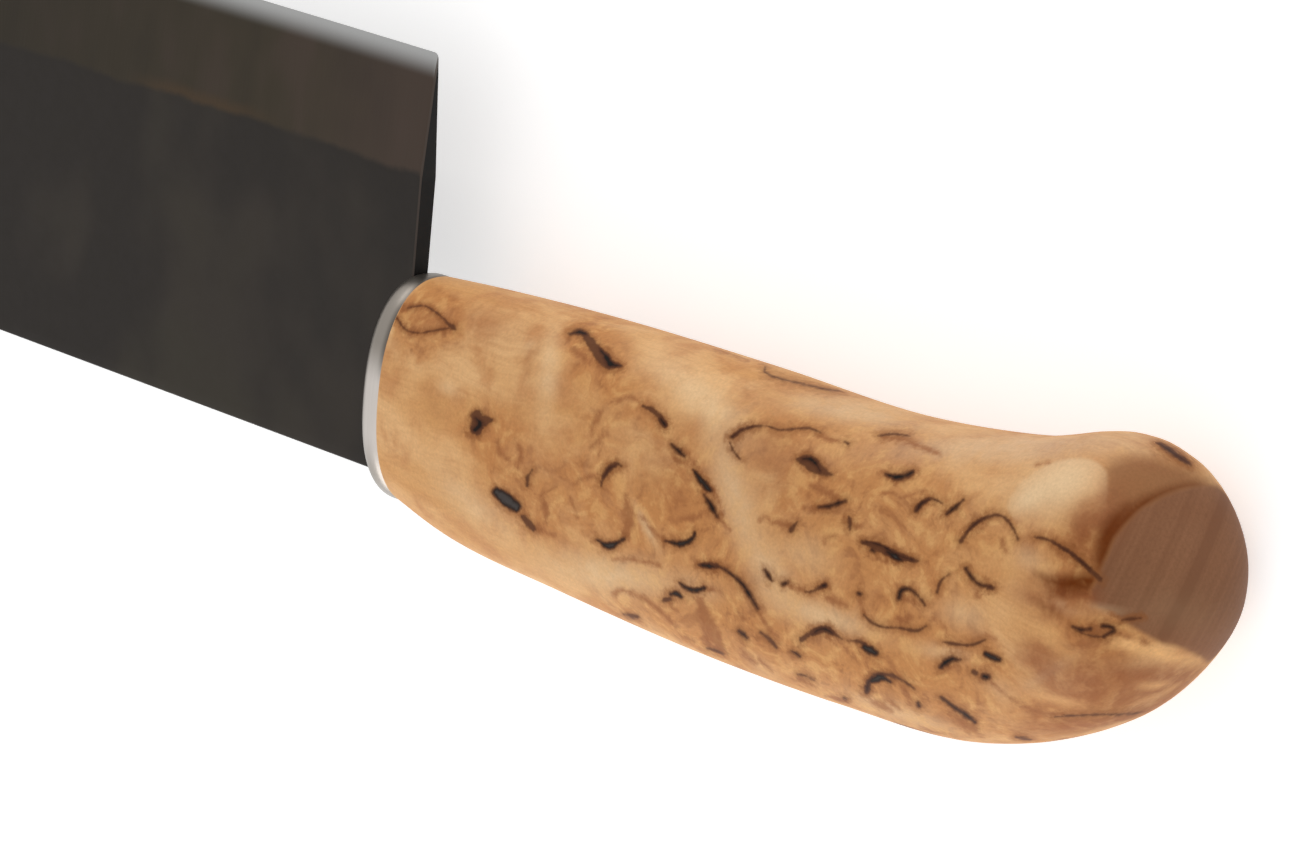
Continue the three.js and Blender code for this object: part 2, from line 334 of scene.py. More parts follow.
# Figure of the birch, drawn as pixel places in the photo's frame.
# Each fleck has its kind, its half widths from end to end in pixels, and its path.
# An amber stain is less than zero wide where it only tints the wood.
flecks = {
    "leafTop": ("soft", [2.2, 3, 3, 3.2],
        [(402, 310), (411, 307), (424, 306), (434, 311), (443, 318), (451, 326)]),
    "leafLow": ("soft", [2.8, 3, 2.6, 2.2], [(397, 318), (405, 329), (417, 333), (432, 331), (449, 328)]),
    "leafTopInk": ("brown", [0.6, 0.8, 0.9, 1.2],
        [(408, 308), (424, 306), (434, 311), (443, 318), (451, 326)]),
    "leafLowInk": ("brown", [0.9, 0.9, 0.8, 0.7],
        [(397, 318), (405, 329), (417, 333), (432, 331), (449, 328)]),
    "leafPoint": ("brown", [1, 3, 1.6], [(446, 322), (452, 327), (455, 329)]),
    "hookTop": ("black", [1.2, 2.8, 1.8], [(570, 334), (579, 332), (586, 334)]),
    "hookShaft": ("brown", [3, 5, 6], [(585, 335), (592, 344), (600, 355)]),
    "hookFoot": ("brown", [3, 6.5, 5, 0.8], [(598, 351), (603, 358), (609, 364), (622, 366)]),
    "hookFootInk": ("black", [1, 3.4, 4, 0.6], [(599, 348), (606, 357), (611, 364), (621, 366)]),
    "hookCrook": ("soft", [4, 2], [(574, 350), (590, 362)]),
    "spot": ("brown", [6, 7, 6.5], [(477, 416), (478, 423), (476, 429)]),
    "spotInk": ("black", [2, 4, 3.5], [(476, 418), (480, 424), (475, 430)]),
    "spotCorner": ("brown", [6, 2.5], [(483, 421), (491, 420)]),
    "frontTick": ("soft", [1.5, 3, 1.5], [(515, 440), (521, 453), (518, 469)]),
    "frontComma": ("brown", [1, 2, 1.4], [(532, 470), (528, 477), (527, 486)]),
    "frontSmear": ("soft", [2, 4, 2], [(541, 494), (546, 508), (546, 522)]),
    "frontDust": ("soft", [2, 3, 1], [(498, 441), (500, 452), (510, 462)]),
    "innerHook": ("brown", [1, 2.6, 3, 2.4, 1],
        [(601, 486), (604, 475), (611, 467), (617, 464), (621, 466)]),
    "innerCore": ("black", [1, 1.8, 1.2], [(604, 477), (610, 468), (616, 466)]),
    "arcThread": ("soft", [1.5, 2, 2, 1.2], [(611, 402), (625, 399), (632, 397), (640, 403)]),
    "arcStart": ("brown", [1.2, 3, 3.4, 2.6], [(643, 406), (652, 410), (660, 417), (665, 425)]),
    "arcKnot": ("black", [1.5, 2.2], [(661, 419), (665, 425)]),
    "arcDashOne": ("black", [1, 2.6, 1.5], [(672, 445), (684, 456)]),
    "arcDot": ("soft", [2.4], [(676, 459), (679, 462)]),
    "arcDashTwo": ("grey", [1, 3.6, 3], [(693, 470), (709, 490)]),
    "arcDashThree": ("black", [1, 2.4, 3.2, 1], [(704, 495), (711, 505), (717, 517)]),
    "arcRim": ("soft", [1.2], [(684, 450), (701, 472), (716, 494), (722, 514)]),
    "arcFoot": ("soft", [2, 3.5, 2], [(681, 519), (692, 518), (705, 512)]),
    "arcTail": ("soft", [2.5, 1.5], [(716, 517), (730, 530)]),
    "smileRight": ("grey", [1, 3.4, 2.8, 1.5], [(666, 541), (680, 544), (692, 539), (695, 533)]),
    "smileRightLead": ("soft", [2, 2.5, 2], [(643, 518), (654, 532), (668, 542)]),
    "smileLeft": ("grey", [1.2, 3.8, 1.4], [(597, 540), (609, 546), (624, 539)]),
    "valleyWedge": ("soft", [2, 5, 6, 3], [(626, 494), (628, 510), (629, 524), (624, 536)]),
    "islandSmearA": ("soft", [2.5, 3, 1.5], [(600, 412), (594, 424), (590, 436)]),
    "islandSmearB": ("soft", [2, 3, 2], [(590, 448), (597, 442), (606, 434)]),
    "islandSmearC": ("soft", [2, 3, 2], [(574, 483), (583, 478), (593, 475)]),
    "islandSmearD": ("soft", [1.5, 2.2, 1.2], [(570, 496), (573, 506), (577, 517)]),
    "greyOval": ("grey", [5, 7, 5.5], [(497, 492), (507, 500), (516, 507)]),
    "greyOvalTwo": ("brown", [2.5, 3.6, 2.5], [(523, 517), (533, 529)]),
    "ovalTail": ("soft", [2, 1.5], [(536, 529), (554, 535)]),
    "straightLine": ("soft", [1.8, 2, 2.2, 1.5], [(614, 559), (633, 560), (649, 563), (660, 566)]),
    "lowerSweep": ("soft", [3, 3, 1.8, 3, 3, 1.5],
        [(616, 595), (618, 591), (626, 591), (636, 595), (652, 604), (677, 627)]),
    "lowerTick": ("brown", [1.2, 2.4, 2], [(624, 614), (632, 616), (637, 617)]),
    "lowerDash": ("soft", [2.4, 2], [(684, 637), (694, 641)]),
    "lowerFoot": ("brown", [0.8, 1.4, 0.8], [(707, 648), (716, 651), (724, 654)]),
    "bellyShade": ("soft", [4, 7, 8, 4], [(700, 600), (706, 620), (714, 637), (722, 650)]),
    "pebbleHigh": ("grey", [1, 2.2, 3, 2.4], [(680, 583), (687, 588), (696, 590), (704, 588)]),
    "pebbleTail": ("soft", [2.6, 1.5], [(704, 588), (720, 591)]),
    "pebbleLow": ("grey", [1.8, 2.8, 1.5], [(671, 594), (677, 594), (682, 597)]),
    "pebbleEnd": ("brown", [2.4], [(664, 600), (669, 599)]),
    "pebbleCurl": ("soft", [1.5, 2, 1.2], [(669, 602), (673, 608), (679, 611)]),
    "curveHead": ("brown", [1.2, 3.6, 3], [(699, 565), (707, 565), (716, 566)]),
    "curveHeadInk": ("grey", [1.5, 2.8, 2], [(702, 565), (708, 566), (714, 567)]),
    "longCurve": ("black", [1.6, 1.2, 1.6, 2.4, 2, 1.2],
        [(716, 566), (722, 568), (732, 575), (743, 585), (750, 596), (758, 609)]),
    "curveEnd": ("soft", [1.5, 2.5, 2], [(757, 608), (766, 624), (776, 636)]),
    "curveTick": ("black", [1, 2.2, 1], [(739, 631), (747, 638)]),
    "curveFoot": ("brown", [1, 1.8, 2.2, 1], [(760, 632), (767, 637), (773, 643), (777, 648)]),
    "curveSmear": ("soft", [2.5, 3], [(738, 612), (745, 619)]),
    "curveSmearLow": ("soft", [2, 3.5, 2], [(741, 649), (748, 657), (757, 664)]),
    "bellyThread": ("soft", [1.6, 1.2], [(759, 659), (773, 672)]),
    "rimDash": ("black", [1.2, 2.2, 1], [(765, 570), (768, 575), (772, 581)]),
    "rimDot": ("black", [1.6, 2.2], [(783, 584), (786, 583)]),
    "rimBand": ("soft", [2.5, 3.5, 2], [(787, 585), (797, 588), (808, 592)]),
    "rimLine": ("brown", [1.5, 1.8, 2.4, 2.2], [(806, 592), (813, 591), (819, 588), (825, 585)]),
    "rimKnot": ("black", [1.6, 2], [(821, 587), (825, 585)]),
    "rimBrown": ("soft", [3, 4.5, 3], [(826, 597), (836, 601), (846, 606)]),
    "rimDotTwo": ("black", [1.5], [(858, 593), (860, 594)]),
    "spindleTop": ("brown", [1.8, 3.4, 4.2, 4.4, 3.2, 1.6],
        [(863, 543), (873, 545), (884, 550), (896, 555), (907, 559), (918, 561)]),
    "spindleInk": ("black", [0.8, 1.2, 1.8, 2, 1],
        [(863, 542), (874, 543), (886, 548), (897, 555), (913, 560)]),
    "spindleSpot": ("black", [1.8], [(872, 550), (874, 551)]),
    "spindleCore": ("grey", [2, 3.6, 2.4], [(888, 552), (894, 556), (901, 560)]),
    "spindleFloor": ("soft", [1.5, 2], [(868, 556), (884, 561), (898, 563)]),
    "curl": ("black", [2.4, 2.6, 2, 1, 0.6], [(899, 598), (901, 591), (908, 589), (916, 594), (925, 605)]),
    "curlFill": ("soft", [3, 2], [(906, 598), (913, 603)]),
    "longRim": ("brown", [0.8, 1.6, 1.4, 1.3, 1.8, 0.8],
        [(864, 615), (871, 622), (883, 627), (900, 628), (916, 631), (926, 626)]),
    "rimRise": ("soft", [3, 2], [(861, 600), (865, 614)]),
    "rimBlush": ("soft", [4, 3], [(900, 620), (910, 618)]),
    "rimLoop": ("soft", [1.2], [(932, 617), (941, 622), (946, 630), (946, 637)]),
    "bellyArc": ("brown", [2.8, 2.4, 3.8, 4, 2.4, 0.8],
        [(801, 640), (808, 635), (817, 631), (825, 629), (832, 632), (842, 639)]),
    "bellyArcInk": ("black", [1, 1.8, 2.4, 1], [(813, 634), (818, 630), (825, 629), (832, 633)]),
    "bellyEnd": ("soft", [2, 2.5], [(828, 637), (836, 645)]),
    "bellyDropTail": ("brown", [0.8, 1.6, 1.8], [(850, 641), (857, 641), (864, 644)]),
    "bellyDrop": ("grey", [3, 4, 3.6], [(864, 647), (870, 650), (875, 653)]),
    "bellyTick": ("black", [0.8, 1.6, 0.8], [(792, 651), (800, 656)]),
    "bellyDash": ("brown", [0.8, 1.4, 0.8], [(798, 674), (806, 676), (814, 680)]),
    "bellyBlush": ("soft", [3, 2], [(800, 679), (812, 686)]),
    "arcLeg": ("brown", [3, 2.6, 2.4], [(867, 691), (869, 683), (874, 677)]),
    "arcLegInk": ("black", [2.2, 1.6, 1.2], [(867, 690), (868, 684), (872, 678)]),
    "arcCore": ("grey", [2.5, 4, 3, 1.4], [(872, 681), (878, 678), (884, 678), (890, 682)]),
    "arcCrown": ("brown", [2.4, 2.4, 1.8, 0.8], [(874, 675), (889, 675), (902, 680), (915, 689)]),
    "arcBlush": ("soft", [3, 4.5, 2], [(874, 702), (882, 706), (892, 711)]),
    "arcBlushTwo": ("soft", [2, 2.5, 1.5], [(886, 700), (893, 704), (901, 710)]),
    "arcBlushThree": ("soft", [2, 2.5, 1.5], [(904, 686), (907, 695), (910, 704)]),
    "lowDot": ("black", [1.6, 1.8], [(918, 703), (919, 706)]),
    "lowDash": ("soft", [2, 3.5, 3], [(825, 697), (836, 699), (847, 701)]),
    "lowDashDot": ("brown", [1.6], [(844, 698), (846, 699)]),
    "lowTaper": ("black", [0.5, 1.6, 2.6, 1.2], [(941, 697), (952, 706), (965, 714), (975, 722)]),
    "lowTaperShade": ("soft", [2, 5, 5, 2], [(950, 713), (961, 722), (971, 729), (982, 735)]),
    "lowRim": ("soft", [1.5, 2, 1.5], [(919, 728), (941, 735), (971, 741)]),
    "tailLine": ("brown", [1.6, 2, 1.6, 0.8], [(944, 642), (954, 644), (971, 645), (985, 640)]),
    "tailTick": ("soft", [1.5, 2], [(987, 634), (995, 639)]),
    "tailDrop": ("black", [2, 3.4, 2.6, 1], [(941, 667), (946, 662), (953, 659), (960, 660)]),
    "tailDropShade": ("soft", [3, 3.5], [(945, 669), (954, 667)]),
    "tailDash": ("grey", [2.4, 3.4, 2.2], [(985, 654), (992, 657), (999, 660)]),
    "tailDot": ("brown", [2.8], [(974, 672), (976, 673)]),
    "tailDotTwo": ("black", [2.6, 3.2], [(984, 676), (987, 677)]),
    "redRun": ("soft", [0.2, 0.5, 2, 3.5, 2.5],
        [(989, 679), (1004, 693), (1020, 704), (1039, 712), (1062, 715)]),
    "rootAmber": ("amber", [-7, -3, 2, 3.5, 2],
        [(1036, 572), (1053, 581), (1069, 584), (1083, 582), (1097, 580)]),
    "rootOlive": ("amber", [-5, -5, -9], [(1052, 594), (1066, 594), (1084, 593)]),
    "seamAmber": ("amber", [0, 3.5, 5, 4, 2],
        [(1101, 570), (1105, 552), (1109, 538), (1118, 524), (1130, 512)]),
    "seamArc": ("amber", [1, -1, -3, -4, -7],
        [(1130, 512), (1143, 504), (1161, 495), (1180, 488), (1203, 483)]),
    "raySpark": ("soft", [1.5, 2], [(1120, 633), (1128, 637)]),
    "heelLine": ("brown", [0.8, 1.2, 1.2, 0.6], [(1055, 717), (1088, 715), (1128, 714), (1150, 712)]),
    "heelDash": ("brown", [1.2, 1.8, 1], [(1016, 737), (1031, 740)]),
    "eyeLeft": ("black", [1, 1.8, 1.2], [(1073, 627), (1081, 630), (1090, 629)]),
    "eyeRight": ("black", [1.4, 2, 2, 1.4], [(1102, 626), (1111, 627), (1113, 631), (1104, 636)]),
    "eyeFloor": ("brown", [0.7, 1], [(1082, 633), (1092, 636), (1106, 637)]),
    "eyeRoof": ("soft", [1.4, 1.4], [(1088, 625), (1103, 624)]),
    "eyeFill": ("soft", [4, 5.5, 4.5], [(1084, 630), (1096, 631), (1108, 631)]),
    "eyeTail": ("soft", [2, 3.5, 2.5], [(1120, 620), (1131, 619), (1144, 617)]),
    "eyeTailInk": ("brown", [1, 2.1, 0.8], [(1122, 620), (1131, 619), (1141, 618)]),
    "eyeTailLead": ("soft", [1.5, 2.5], [(1108, 612), (1122, 619)]),
    "raySpot": ("soft", [3, 3], [(1143, 641), (1148, 644)]),
    "buttSlash": ("brown", [1, 3.4, 3, 1.2], [(1157, 443), (1168, 449), (1178, 456), (1191, 465)]),
    "buttSlashInk": ("black", [0.8, 2, 1.6, 0.8], [(1160, 444), (1169, 450), (1178, 456), (1188, 463)]),
    "hookTick": ("soft", [1.5, 1], [(1036, 465), (1049, 463)]),
    "bigLoop": ("brown", [2.2, 2, 1.8, 1.4, 1.4, 1.8, 1.6],
        [(961, 541), (970, 529), (981, 520), (995, 515), (1005, 518), (1013, 528), (1018, 539)]),
    "bigLoopInk": ("black", [1.2, 1.4, 0.8], [(968, 531), (975, 524), (984, 518)]),
    "loopFoot": ("black", [1.6, 1.7, 1.6, 1.4], [(966, 569), (973, 579), (981, 585), (991, 587)]),
    "loopKnot": ("brown", [2.6], [(988, 587), (993, 588)]),
    "loopSide": ("brown", [1.6, 1.4, 1], [(937, 592), (941, 581), (949, 574)]),
    "loopSmear": ("soft", [3, 2.5], [(1002, 540), (1006, 552)]),
    "loopCrumb": ("soft", [2.2], [(976, 595), (979, 597)]),
    "rootLine": ("brown", [1, 1.8, 1.8, 2, 2.4, 2.6],
        [(1034, 537), (1046, 539), (1058, 545), (1073, 555), (1087, 567), (1100, 579)]),
    "rootInk": ("black", [0.6, 0.9, 1.2], [(1056, 544), (1073, 555), (1090, 569)]),
    "lensTop": ("brown", [1.8, 1.4, 1.3, 1.2, 1.2, 0.8],
        [(733, 436), (746, 428), (766, 426), (781, 430), (807, 428), (820, 432)]),
    "lensInk": ("black", [1.4, 1, 0.5], [(732, 437), (740, 431), (752, 427)]),
    "lensHook": ("brown", [1.4, 2, 1], [(730, 443), (733, 450), (740, 459)]),
    "lensFade": ("soft", [2, 3, 2], [(815, 434), (826, 438), (838, 441)]),
    "lensDot": ("brown", [1.8], [(845, 442), (848, 444)]),
    "lensLine": ("brown", [0.8, 1.4, 0.8], [(878, 436), (894, 434), (910, 436)]),
    "lensBlush": ("soft", [2, 3.5, 3, 2], [(884, 437), (905, 440), (921, 447), (940, 454)]),
    "almond": ("brown", [2.2, 5.6, 7.2, 4.8, 1.4],
        [(798, 459), (806, 461), (814, 466), (822, 471), (832, 475)]),
    "almondInk": ("black", [1.6, 3, 2.4, 1.6], [(803, 459), (810, 459), (816, 464), (820, 471)]),
    "blackBar": ("black", [1.4, 3.2, 3, 1.6], [(886, 474), (895, 477), (904, 476), (913, 472)]),
    "barEnds": ("soft", [2, 2.5, 2], [(881, 472), (897, 480), (917, 473)]),
    "wedge": ("black", [1, 2.4, 2.4, 1.2], [(819, 507), (830, 506), (838, 503), (845, 501)]),
    "wedgeTail": ("soft", [2, 3, 2.5], [(804, 507), (814, 509), (824, 508)]),
    "wedgeRoof": ("soft", [3, 5, 4], [(812, 486), (823, 491), (836, 498)]),
    "wedgeCurl": ("soft", [1.4], [(760, 521), (763, 517), (767, 517), (770, 521)]),
    "wedgeTick": ("brown", [2.6, 2.4, 1], [(791, 531), (794, 526), (797, 522)]),
    "tickBlush": ("soft", [3, 4], [(774, 522), (789, 526)]),
    "stub": ("brown", [1.5, 2.4, 1.5], [(849, 517), (850, 523), (850, 529)]),
    "stubBlush": ("soft", [3, 4, 3], [(845, 518), (852, 524), (860, 527)]),
    "paleCurl": ("soft", [1.5, 2, 1.5], [(883, 494), (892, 493), (899, 497)]),
    "paleCurlTwo": ("soft", [1.5, 1.5], [(905, 497), (922, 491)]),
    "smallCurl": ("soft", [1.5, 1.8, 1.2], [(823, 542), (828, 537), (835, 536)]),
    "capOne": ("brown", [1.6, 2.4, 2, 1.4], [(916, 511), (923, 502), (932, 499), (942, 503)]),
    "capOneInk": ("black", [1.6, 2, 1], [(917, 510), (922, 503), (929, 500)]),
    "capTwo": ("black", [1.2, 2.2, 0.8], [(947, 514), (954, 508), (963, 500)]),
    "capTwoTail": ("soft", [1.5, 2], [(937, 519), (948, 513)]),
    "topLens": ("brown", [0.9, 1, 1, 1, 1, 0.7],
        [(765, 367), (766, 373), (781, 379), (803, 384), (824, 389), (844, 391)]),
    "topBlush": ("soft", [2, 2.5, 1.5], [(716, 349), (731, 353), (748, 360)]),
}
# Soft patches without an edge: tone, then in pixels the middle, half length and half width, then the turn
# in degrees and the strength
patches = {
    "paleCrown": ("pale", 1036, 486, 44, 24, -25, 0.45),
    "brightRay": ("bright", 1158, 652, 36, 6.5, 15, 1.0),
    "brightStart": ("bright", 1128, 645, 18, 6, 12, 0.6),
    "rayStart": ("pale", 1086, 609, 30, 4, 5, 0.6),
    "paleFoot": ("bright", 1058, 700, 30, 4, 12, 0.5),
    "paleHeel": ("bright", 1159, 686, 22, 3, 4, 0.6),
    "paleSlip": ("bright", 1150, 699, 16, 2.5, -12, 0.4),
    "paleSweep": ("pale", 1050, 672, 28, 5, -31, 0.5),
    "paleEye": ("pale", 1028, 560, 20, 14, 30, 0.45),
    "paleBelow": ("pale", 965, 615, 26, 14, 20, 0.45),
    "paleStrip": ("pale", 549, 372, 40, 10, 97, 0.7),
    "paleFlame": ("pale", 529, 345, 9, 4, -30, 0.5),
    "paleSpeck": ("pale", 448, 388, 10, 7, 20, 0.4),
    "paleShoulder": ("pale", 700, 396, 66, 18, 37, 0.7),
    "paleGap": ("pale", 734, 494, 68, 17, 72, 0.75),
    "paleBend": ("pale", 772, 574, 26, 14, 50, 0.65),
    "paleLow": ("pale", 822, 616, 56, 13, 18, 0.75),
    "paleFlow": ("pale", 940, 652, 26, 8, 10, 0.5),
    "paleGrip": ("pale", 470, 502, 50, 15, 38, 0.6),
    "paleNick": ("pale", 762, 668, 24, 8, 40, 0.35),
    "paleBelly": ("pale", 900, 713, 66, 9, 19, 0.6),
    "paleRun": ("pale", 606, 574, 70, 18, 10, 0.85),
    "paleRidge": ("pale", 646, 526, 22, 4, 62, 0.7),
    "paleHollow": ("pale", 950, 452, 70, 12, 6, 0.15),
    "paleTop": ("pale", 850, 411, 64, 13, 8, 0.6),
    "paleCell": ("pale", 806, 555, 34, 22, 20, 0.35),
    "paleLap": ("pale", 700, 590, 20, 10, 30, 0.3),
    "tailShade": ("brown", 1062, 586, 28, 10, 10, 1.0),
    "tailIsland": ("brown", 1042, 602, 32, 14, 15, 0.7),
    "tailShadeMid": ("brown", 1045, 604, 18, 6, 22, 0.7),
    "tailShadeLow": ("brown", 1048, 620, 20, 5, 10, 0.6),
    "tailRust": ("brown", 1042, 649, 24, 9, 30, 0.6),
    "tailRed": ("brown", 1077, 671, 34, 15, -20, 0.5),
    "tailWide": ("brown", 1116, 688, 80, 34, -8, 1.0),
    "tailRight": ("brown", 1178, 692, 40, 16, -25, 0.8),
    "tailBand": ("brown", 1160, 674, 40, 5, -2, 0.9),
    "tailFlank": ("brown", 1118, 694, 50, 10, -8, 0.3),
    "footRed": ("brown", 1068, 726, 60, 10, -3, 0.75),
    "stripShade": ("brown", 527, 366, 26, 4, 97, 0.45),
    "flameShade": ("brown", 536, 351, 8, 4, -50, 0.5),
    "leafShade": ("brown", 490, 325, 46, 17, 9, 0.4),
    "leafFill": ("brown", 420, 319, 20, 9, 10, 0.35),
    "spotShade": ("brown", 433, 404, 16, 7, 60, 0.35),
    "mainShade": ("brown", 668, 470, 46, 28, 60, 0.35),
    "frontShade": ("brown", 520, 478, 44, 22, 70, 0.2),
    "lowShade": ("brown", 742, 655, 26, 10, 45, 0.25),
    "wideShade": ("brown", 775, 470, 34, 18, 80, 0.4),
    "lensShade": ("brown", 770, 440, 40, 9, 10, 0.35),
    "shoulderFade": ("brown", 1150, 464, 36, 7, 8, 0.3),
    "eyeBlush": ("brown", 1092, 640, 26, 8, 0, 0.5),
    "tailGlow": ("brown", 1036, 662, 24, 12, 35, 0.8),
    "fanShadow": ("brown", 1092, 528, 44, 20, -48, 1.0),
    "eyeGlow": ("brown", 1095, 615, 14, 6, 0, 0.4),
    "rimRight": ("brown", 1152, 706, 32, 9, -22, 0.9),
    "fanOlive": ("amber", 1088, 536, 34, 17, -45, 0.25),
    "fanLight": ("fan", 1066, 480, 46, 27, -30, 1.0),
    "fanEdge": ("fan", 1026, 499, 22, 11, -35, 0.6),
    "fanFoot": ("brown", 1084, 511, 26, 11, -40, 0.5),
    "rootShade": ("amber", 1060, 585, 26, 9, 8, 0.55),
    "rootBelow": ("brown", 1082, 598, 17, 8, 5, 0.95),
    "rootGlow": ("pale", 1059, 603, 9, 5, 20, 0.4),
    "endShade": ("amber", 1200, 510, 40, 16, 10, 0.15),
    "endGlow": ("pale", 1178, 612, 46, 24, 10, 0.08),
    "paleTail": ("pale", 1000, 690, 20, 10, 35, 0.3),
    # the next two patches are a painted sheen: the top of the grip made paler and greyer where light grazes
    # it
    "paintedSheenTop": ("paintedSheen", 1030, 446, 150, 16, -3, 0.7),
    "paintedSheenRun": ("paintedSheen", 850, 411, 80, 12, 12, 0.35),
    "rootLow": ("amber", 1048, 608, 18, 6, 30, 0.6),
}
# Outlines of the bare end grain on the butt, of a mid-brown shoulder above it and of the pale fan beside
# that
endGrain = [
    (1095, 582), (1103, 563), (1113, 539), (1126, 523), (1141, 508), (1163, 497), (1179, 490), (1201, 485),
    (1219, 486), (1246, 505), (1262, 560), (1262, 600), (1250, 640), (1230, 672), (1215, 668), (1199, 657),
    (1178, 647), (1158, 642), (1146, 634), (1128, 624), (1113, 614), (1093, 606), (1090, 592),
]
brownShoulder = [
    (1107, 468), (1115, 462), (1130, 457), (1150, 457), (1165, 461), (1180, 467), (1197, 475), (1216, 486),
    (1216, 490), (1180, 496), (1140, 516), (1115, 541), (1100, 572),
]
paleFan = [
    (1035, 470), (1050, 463), (1064, 459), (1080, 457), (1092, 459), (1100, 463), (1106, 470), (1108, 478),
    (1108, 496), (1106, 518), (1101, 535), (1099, 560), (1098, 575), (1087, 566), (1073, 554), (1058, 544),
    (1046, 538), (1034, 536), (1022, 540), (1018, 530), (1013, 520), (1005, 510), (1008, 497), (1020, 482),
]
fleckKinds = ("black", "grey", "brown", "soft", "amber")
patchTones = ("pale", "paintedSheen", "bright", "brown", "amber", "fan")
figureSpec = dict(
    facing=(0.06, 0.2),  # how squarely a place faces the camera before it takes the photo's flecks
    seen=0.5,  # share of the photo's flecks from which a place counts as in view
    pathSteps=4,  # points drawn for each point of a path
    searchMargin=2,  # mm round a fleck in which its distance is worked out
    softReach=0.27,  # mm from any fleck that get a finer mesh
    softCuts=2,
    inkReach=0.2,  # mm from a fleck in view that get a finer one still
    inkCuts=1,
    islandSize=2.4,  # mm, how far a fleck colours the wood
    islandReach=5,  # times that size, where it no longer does
    fullIsland=8,  # fleck density at which an island has its full colour
    leastFleck=(1, 0.4),  # mm of length and width that the density adds to each fleck
    rollRadius=13,  # mm, of the handle as if it were round
    outside=-9,  # mm, a depth that is far from every fleck
    buttTurn=0.6,  # how squarely a hidden place faces back before it is end grain
    spineTurn=0.25,  # and how much more on the spine's side
    spineSlope=2,  # how soon the spine's side counts in full
    cutFade=3,  # mm over which the cuts end at the edge of the photo's view
)
# Islands of crescents for the sides that the photo doesn't show, in mm on the unrolled surface
backSpec = dict(
    seed=7,
    islands=15,
    along=(-10, -92),  # first place from the ferrule, and how far the islands spread from there
    golden=(0.618, 0.3),  # step and start that keep the islands apart along the handle
    span=(-16, 31),  # round the handle from the middle of its left side
    size=(4, 8),  # half length of an island
    flatness=0.75,  # its half height as a share of that
    crescents=(7, 12),
    points=5,  # on each crescent
    arc=(0.25, 0.9),  # radians that a crescent spans
    rings=(1.05, 0.95, 0.6, 0.35),  # where it lies between the island's middle and its rim
    wobble=0.25,
    halfWidth=(0.1, 0.42),
    taper=(0.4, 1, 1.1, 0.8, 0.3),  # of the width from end to end
    kindShares=(0.26, 0.08, 0.26, 0.4, 0),
)


def smoothPath(path, widths):
    # points along a curve through the path, with the half width at each
    path = np.array(path, float)
    share = np.linspace(0, 1, figureSpec["pathSteps"] * len(path))
    place = np.clip(share * (len(path) - 1), 0, len(path) - 1 - 1e-9)
    cell = place.astype(int)
    t = (place - cell)[:, None]
    padded = np.vstack([2 * path[0] - path[1], path, 2 * path[-1] - path[-2]])
    a, b, c, d = (padded[cell + i] for i in range(4))
    bend = 2 * a - 5 * b + 4 * c - d
    twist = 3 * b - a - 3 * c + d
    curve = b + ((c - a) * t + bend * t ** 2 + twist * t ** 3) / 2
    half = np.interp(share, np.linspace(0, 1, len(widths)), widths)
    return curve, half


def backStrokes():
    spec = backSpec
    draw = np.random.default_rng(spec["seed"])
    first, spread = spec["along"]
    goldenStep, goldenStart = spec["golden"]
    strokes = []
    for island in range(spec["islands"]):
        along = first + spread * ((island * goldenStep + goldenStart) % 1)
        centre = np.array([along, draw.uniform(*spec["span"])])
        size = draw.uniform(*spec["size"]) * np.array([1, spec["flatness"]])
        for _ in range(draw.integers(*spec["crescents"])):
            start = draw.uniform(0, 2 * math.pi)
            angles = start + np.linspace(0, draw.uniform(*spec["arc"]), spec["points"])
            ring = draw.choice(spec["rings"])
            wobble = draw.normal(0, spec["wobble"], (spec["points"], 2))
            points = centre + ring * size * np.stack([np.cos(angles), np.sin(angles)], axis=1) + wobble
            widths = draw.uniform(*spec["halfWidth"]) * np.array(spec["taper"])
            kind = draw.choice(fleckKinds, p=spec["kindShares"])
            strokes.append((kind, *smoothPath(points, widths)))
    return strokes


frontStrokes = [(kind, *smoothPath(path, widths)) for kind, widths, path in flecks.values()]
hiddenStrokes = backStrokes()


def strokeDepth(plane, perMm, strokes):
    # mm that each place lies inside the nearest stroke, less than zero outside
    depth = np.full(len(plane), float(figureSpec["outside"]))
    margin = figureSpec["searchMargin"] * np.median(perMm)
    for _, curve, half in strokes:
        reach = margin + half.max()
        near = np.where(((plane > curve.min(0) - reach) & (plane < curve.max(0) + reach)).all(1))[0]
        points = plane[near]
        for a, b, halfA, halfB in zip(curve[:-1], curve[1:], half[:-1], half[1:]):
            along = b - a
            rel = points - a
            share = np.clip(rel @ along / (along @ along), 0, 1)
            distance = np.linalg.norm(rel - share[:, None] * along, axis=1)
            inside = (halfA + (halfB - halfA) * share - distance) / perMm[near]
            depth[near] = np.maximum(depth[near], inside)
    return depth


def fleckDensity(plane, perMm, strokes):
    # how much fleck lies round a place, which is where the wood has its islands
    density = np.zeros(len(plane))
    spread = figureSpec["islandSize"] * perMm
    leastLength, leastWidth = figureSpec["leastFleck"]
    for _, curve, half in strokes:
        near = np.linalg.norm(plane - curve.mean(0), axis=1) < figureSpec["islandReach"] * spread
        samples = curve[::figureSpec["pathSteps"]]
        length = np.linalg.norm(np.diff(curve, axis=0), axis=1).sum() / perMm
        rel = plane[near][:, None, :] - samples[None, :, :]
        share = np.exp(-(rel ** 2).sum(2) / (2 * spread ** 2)).mean(1)
        density[near] += share * (leastLength + length) * (leastWidth + half.mean() / perMm)
    return density


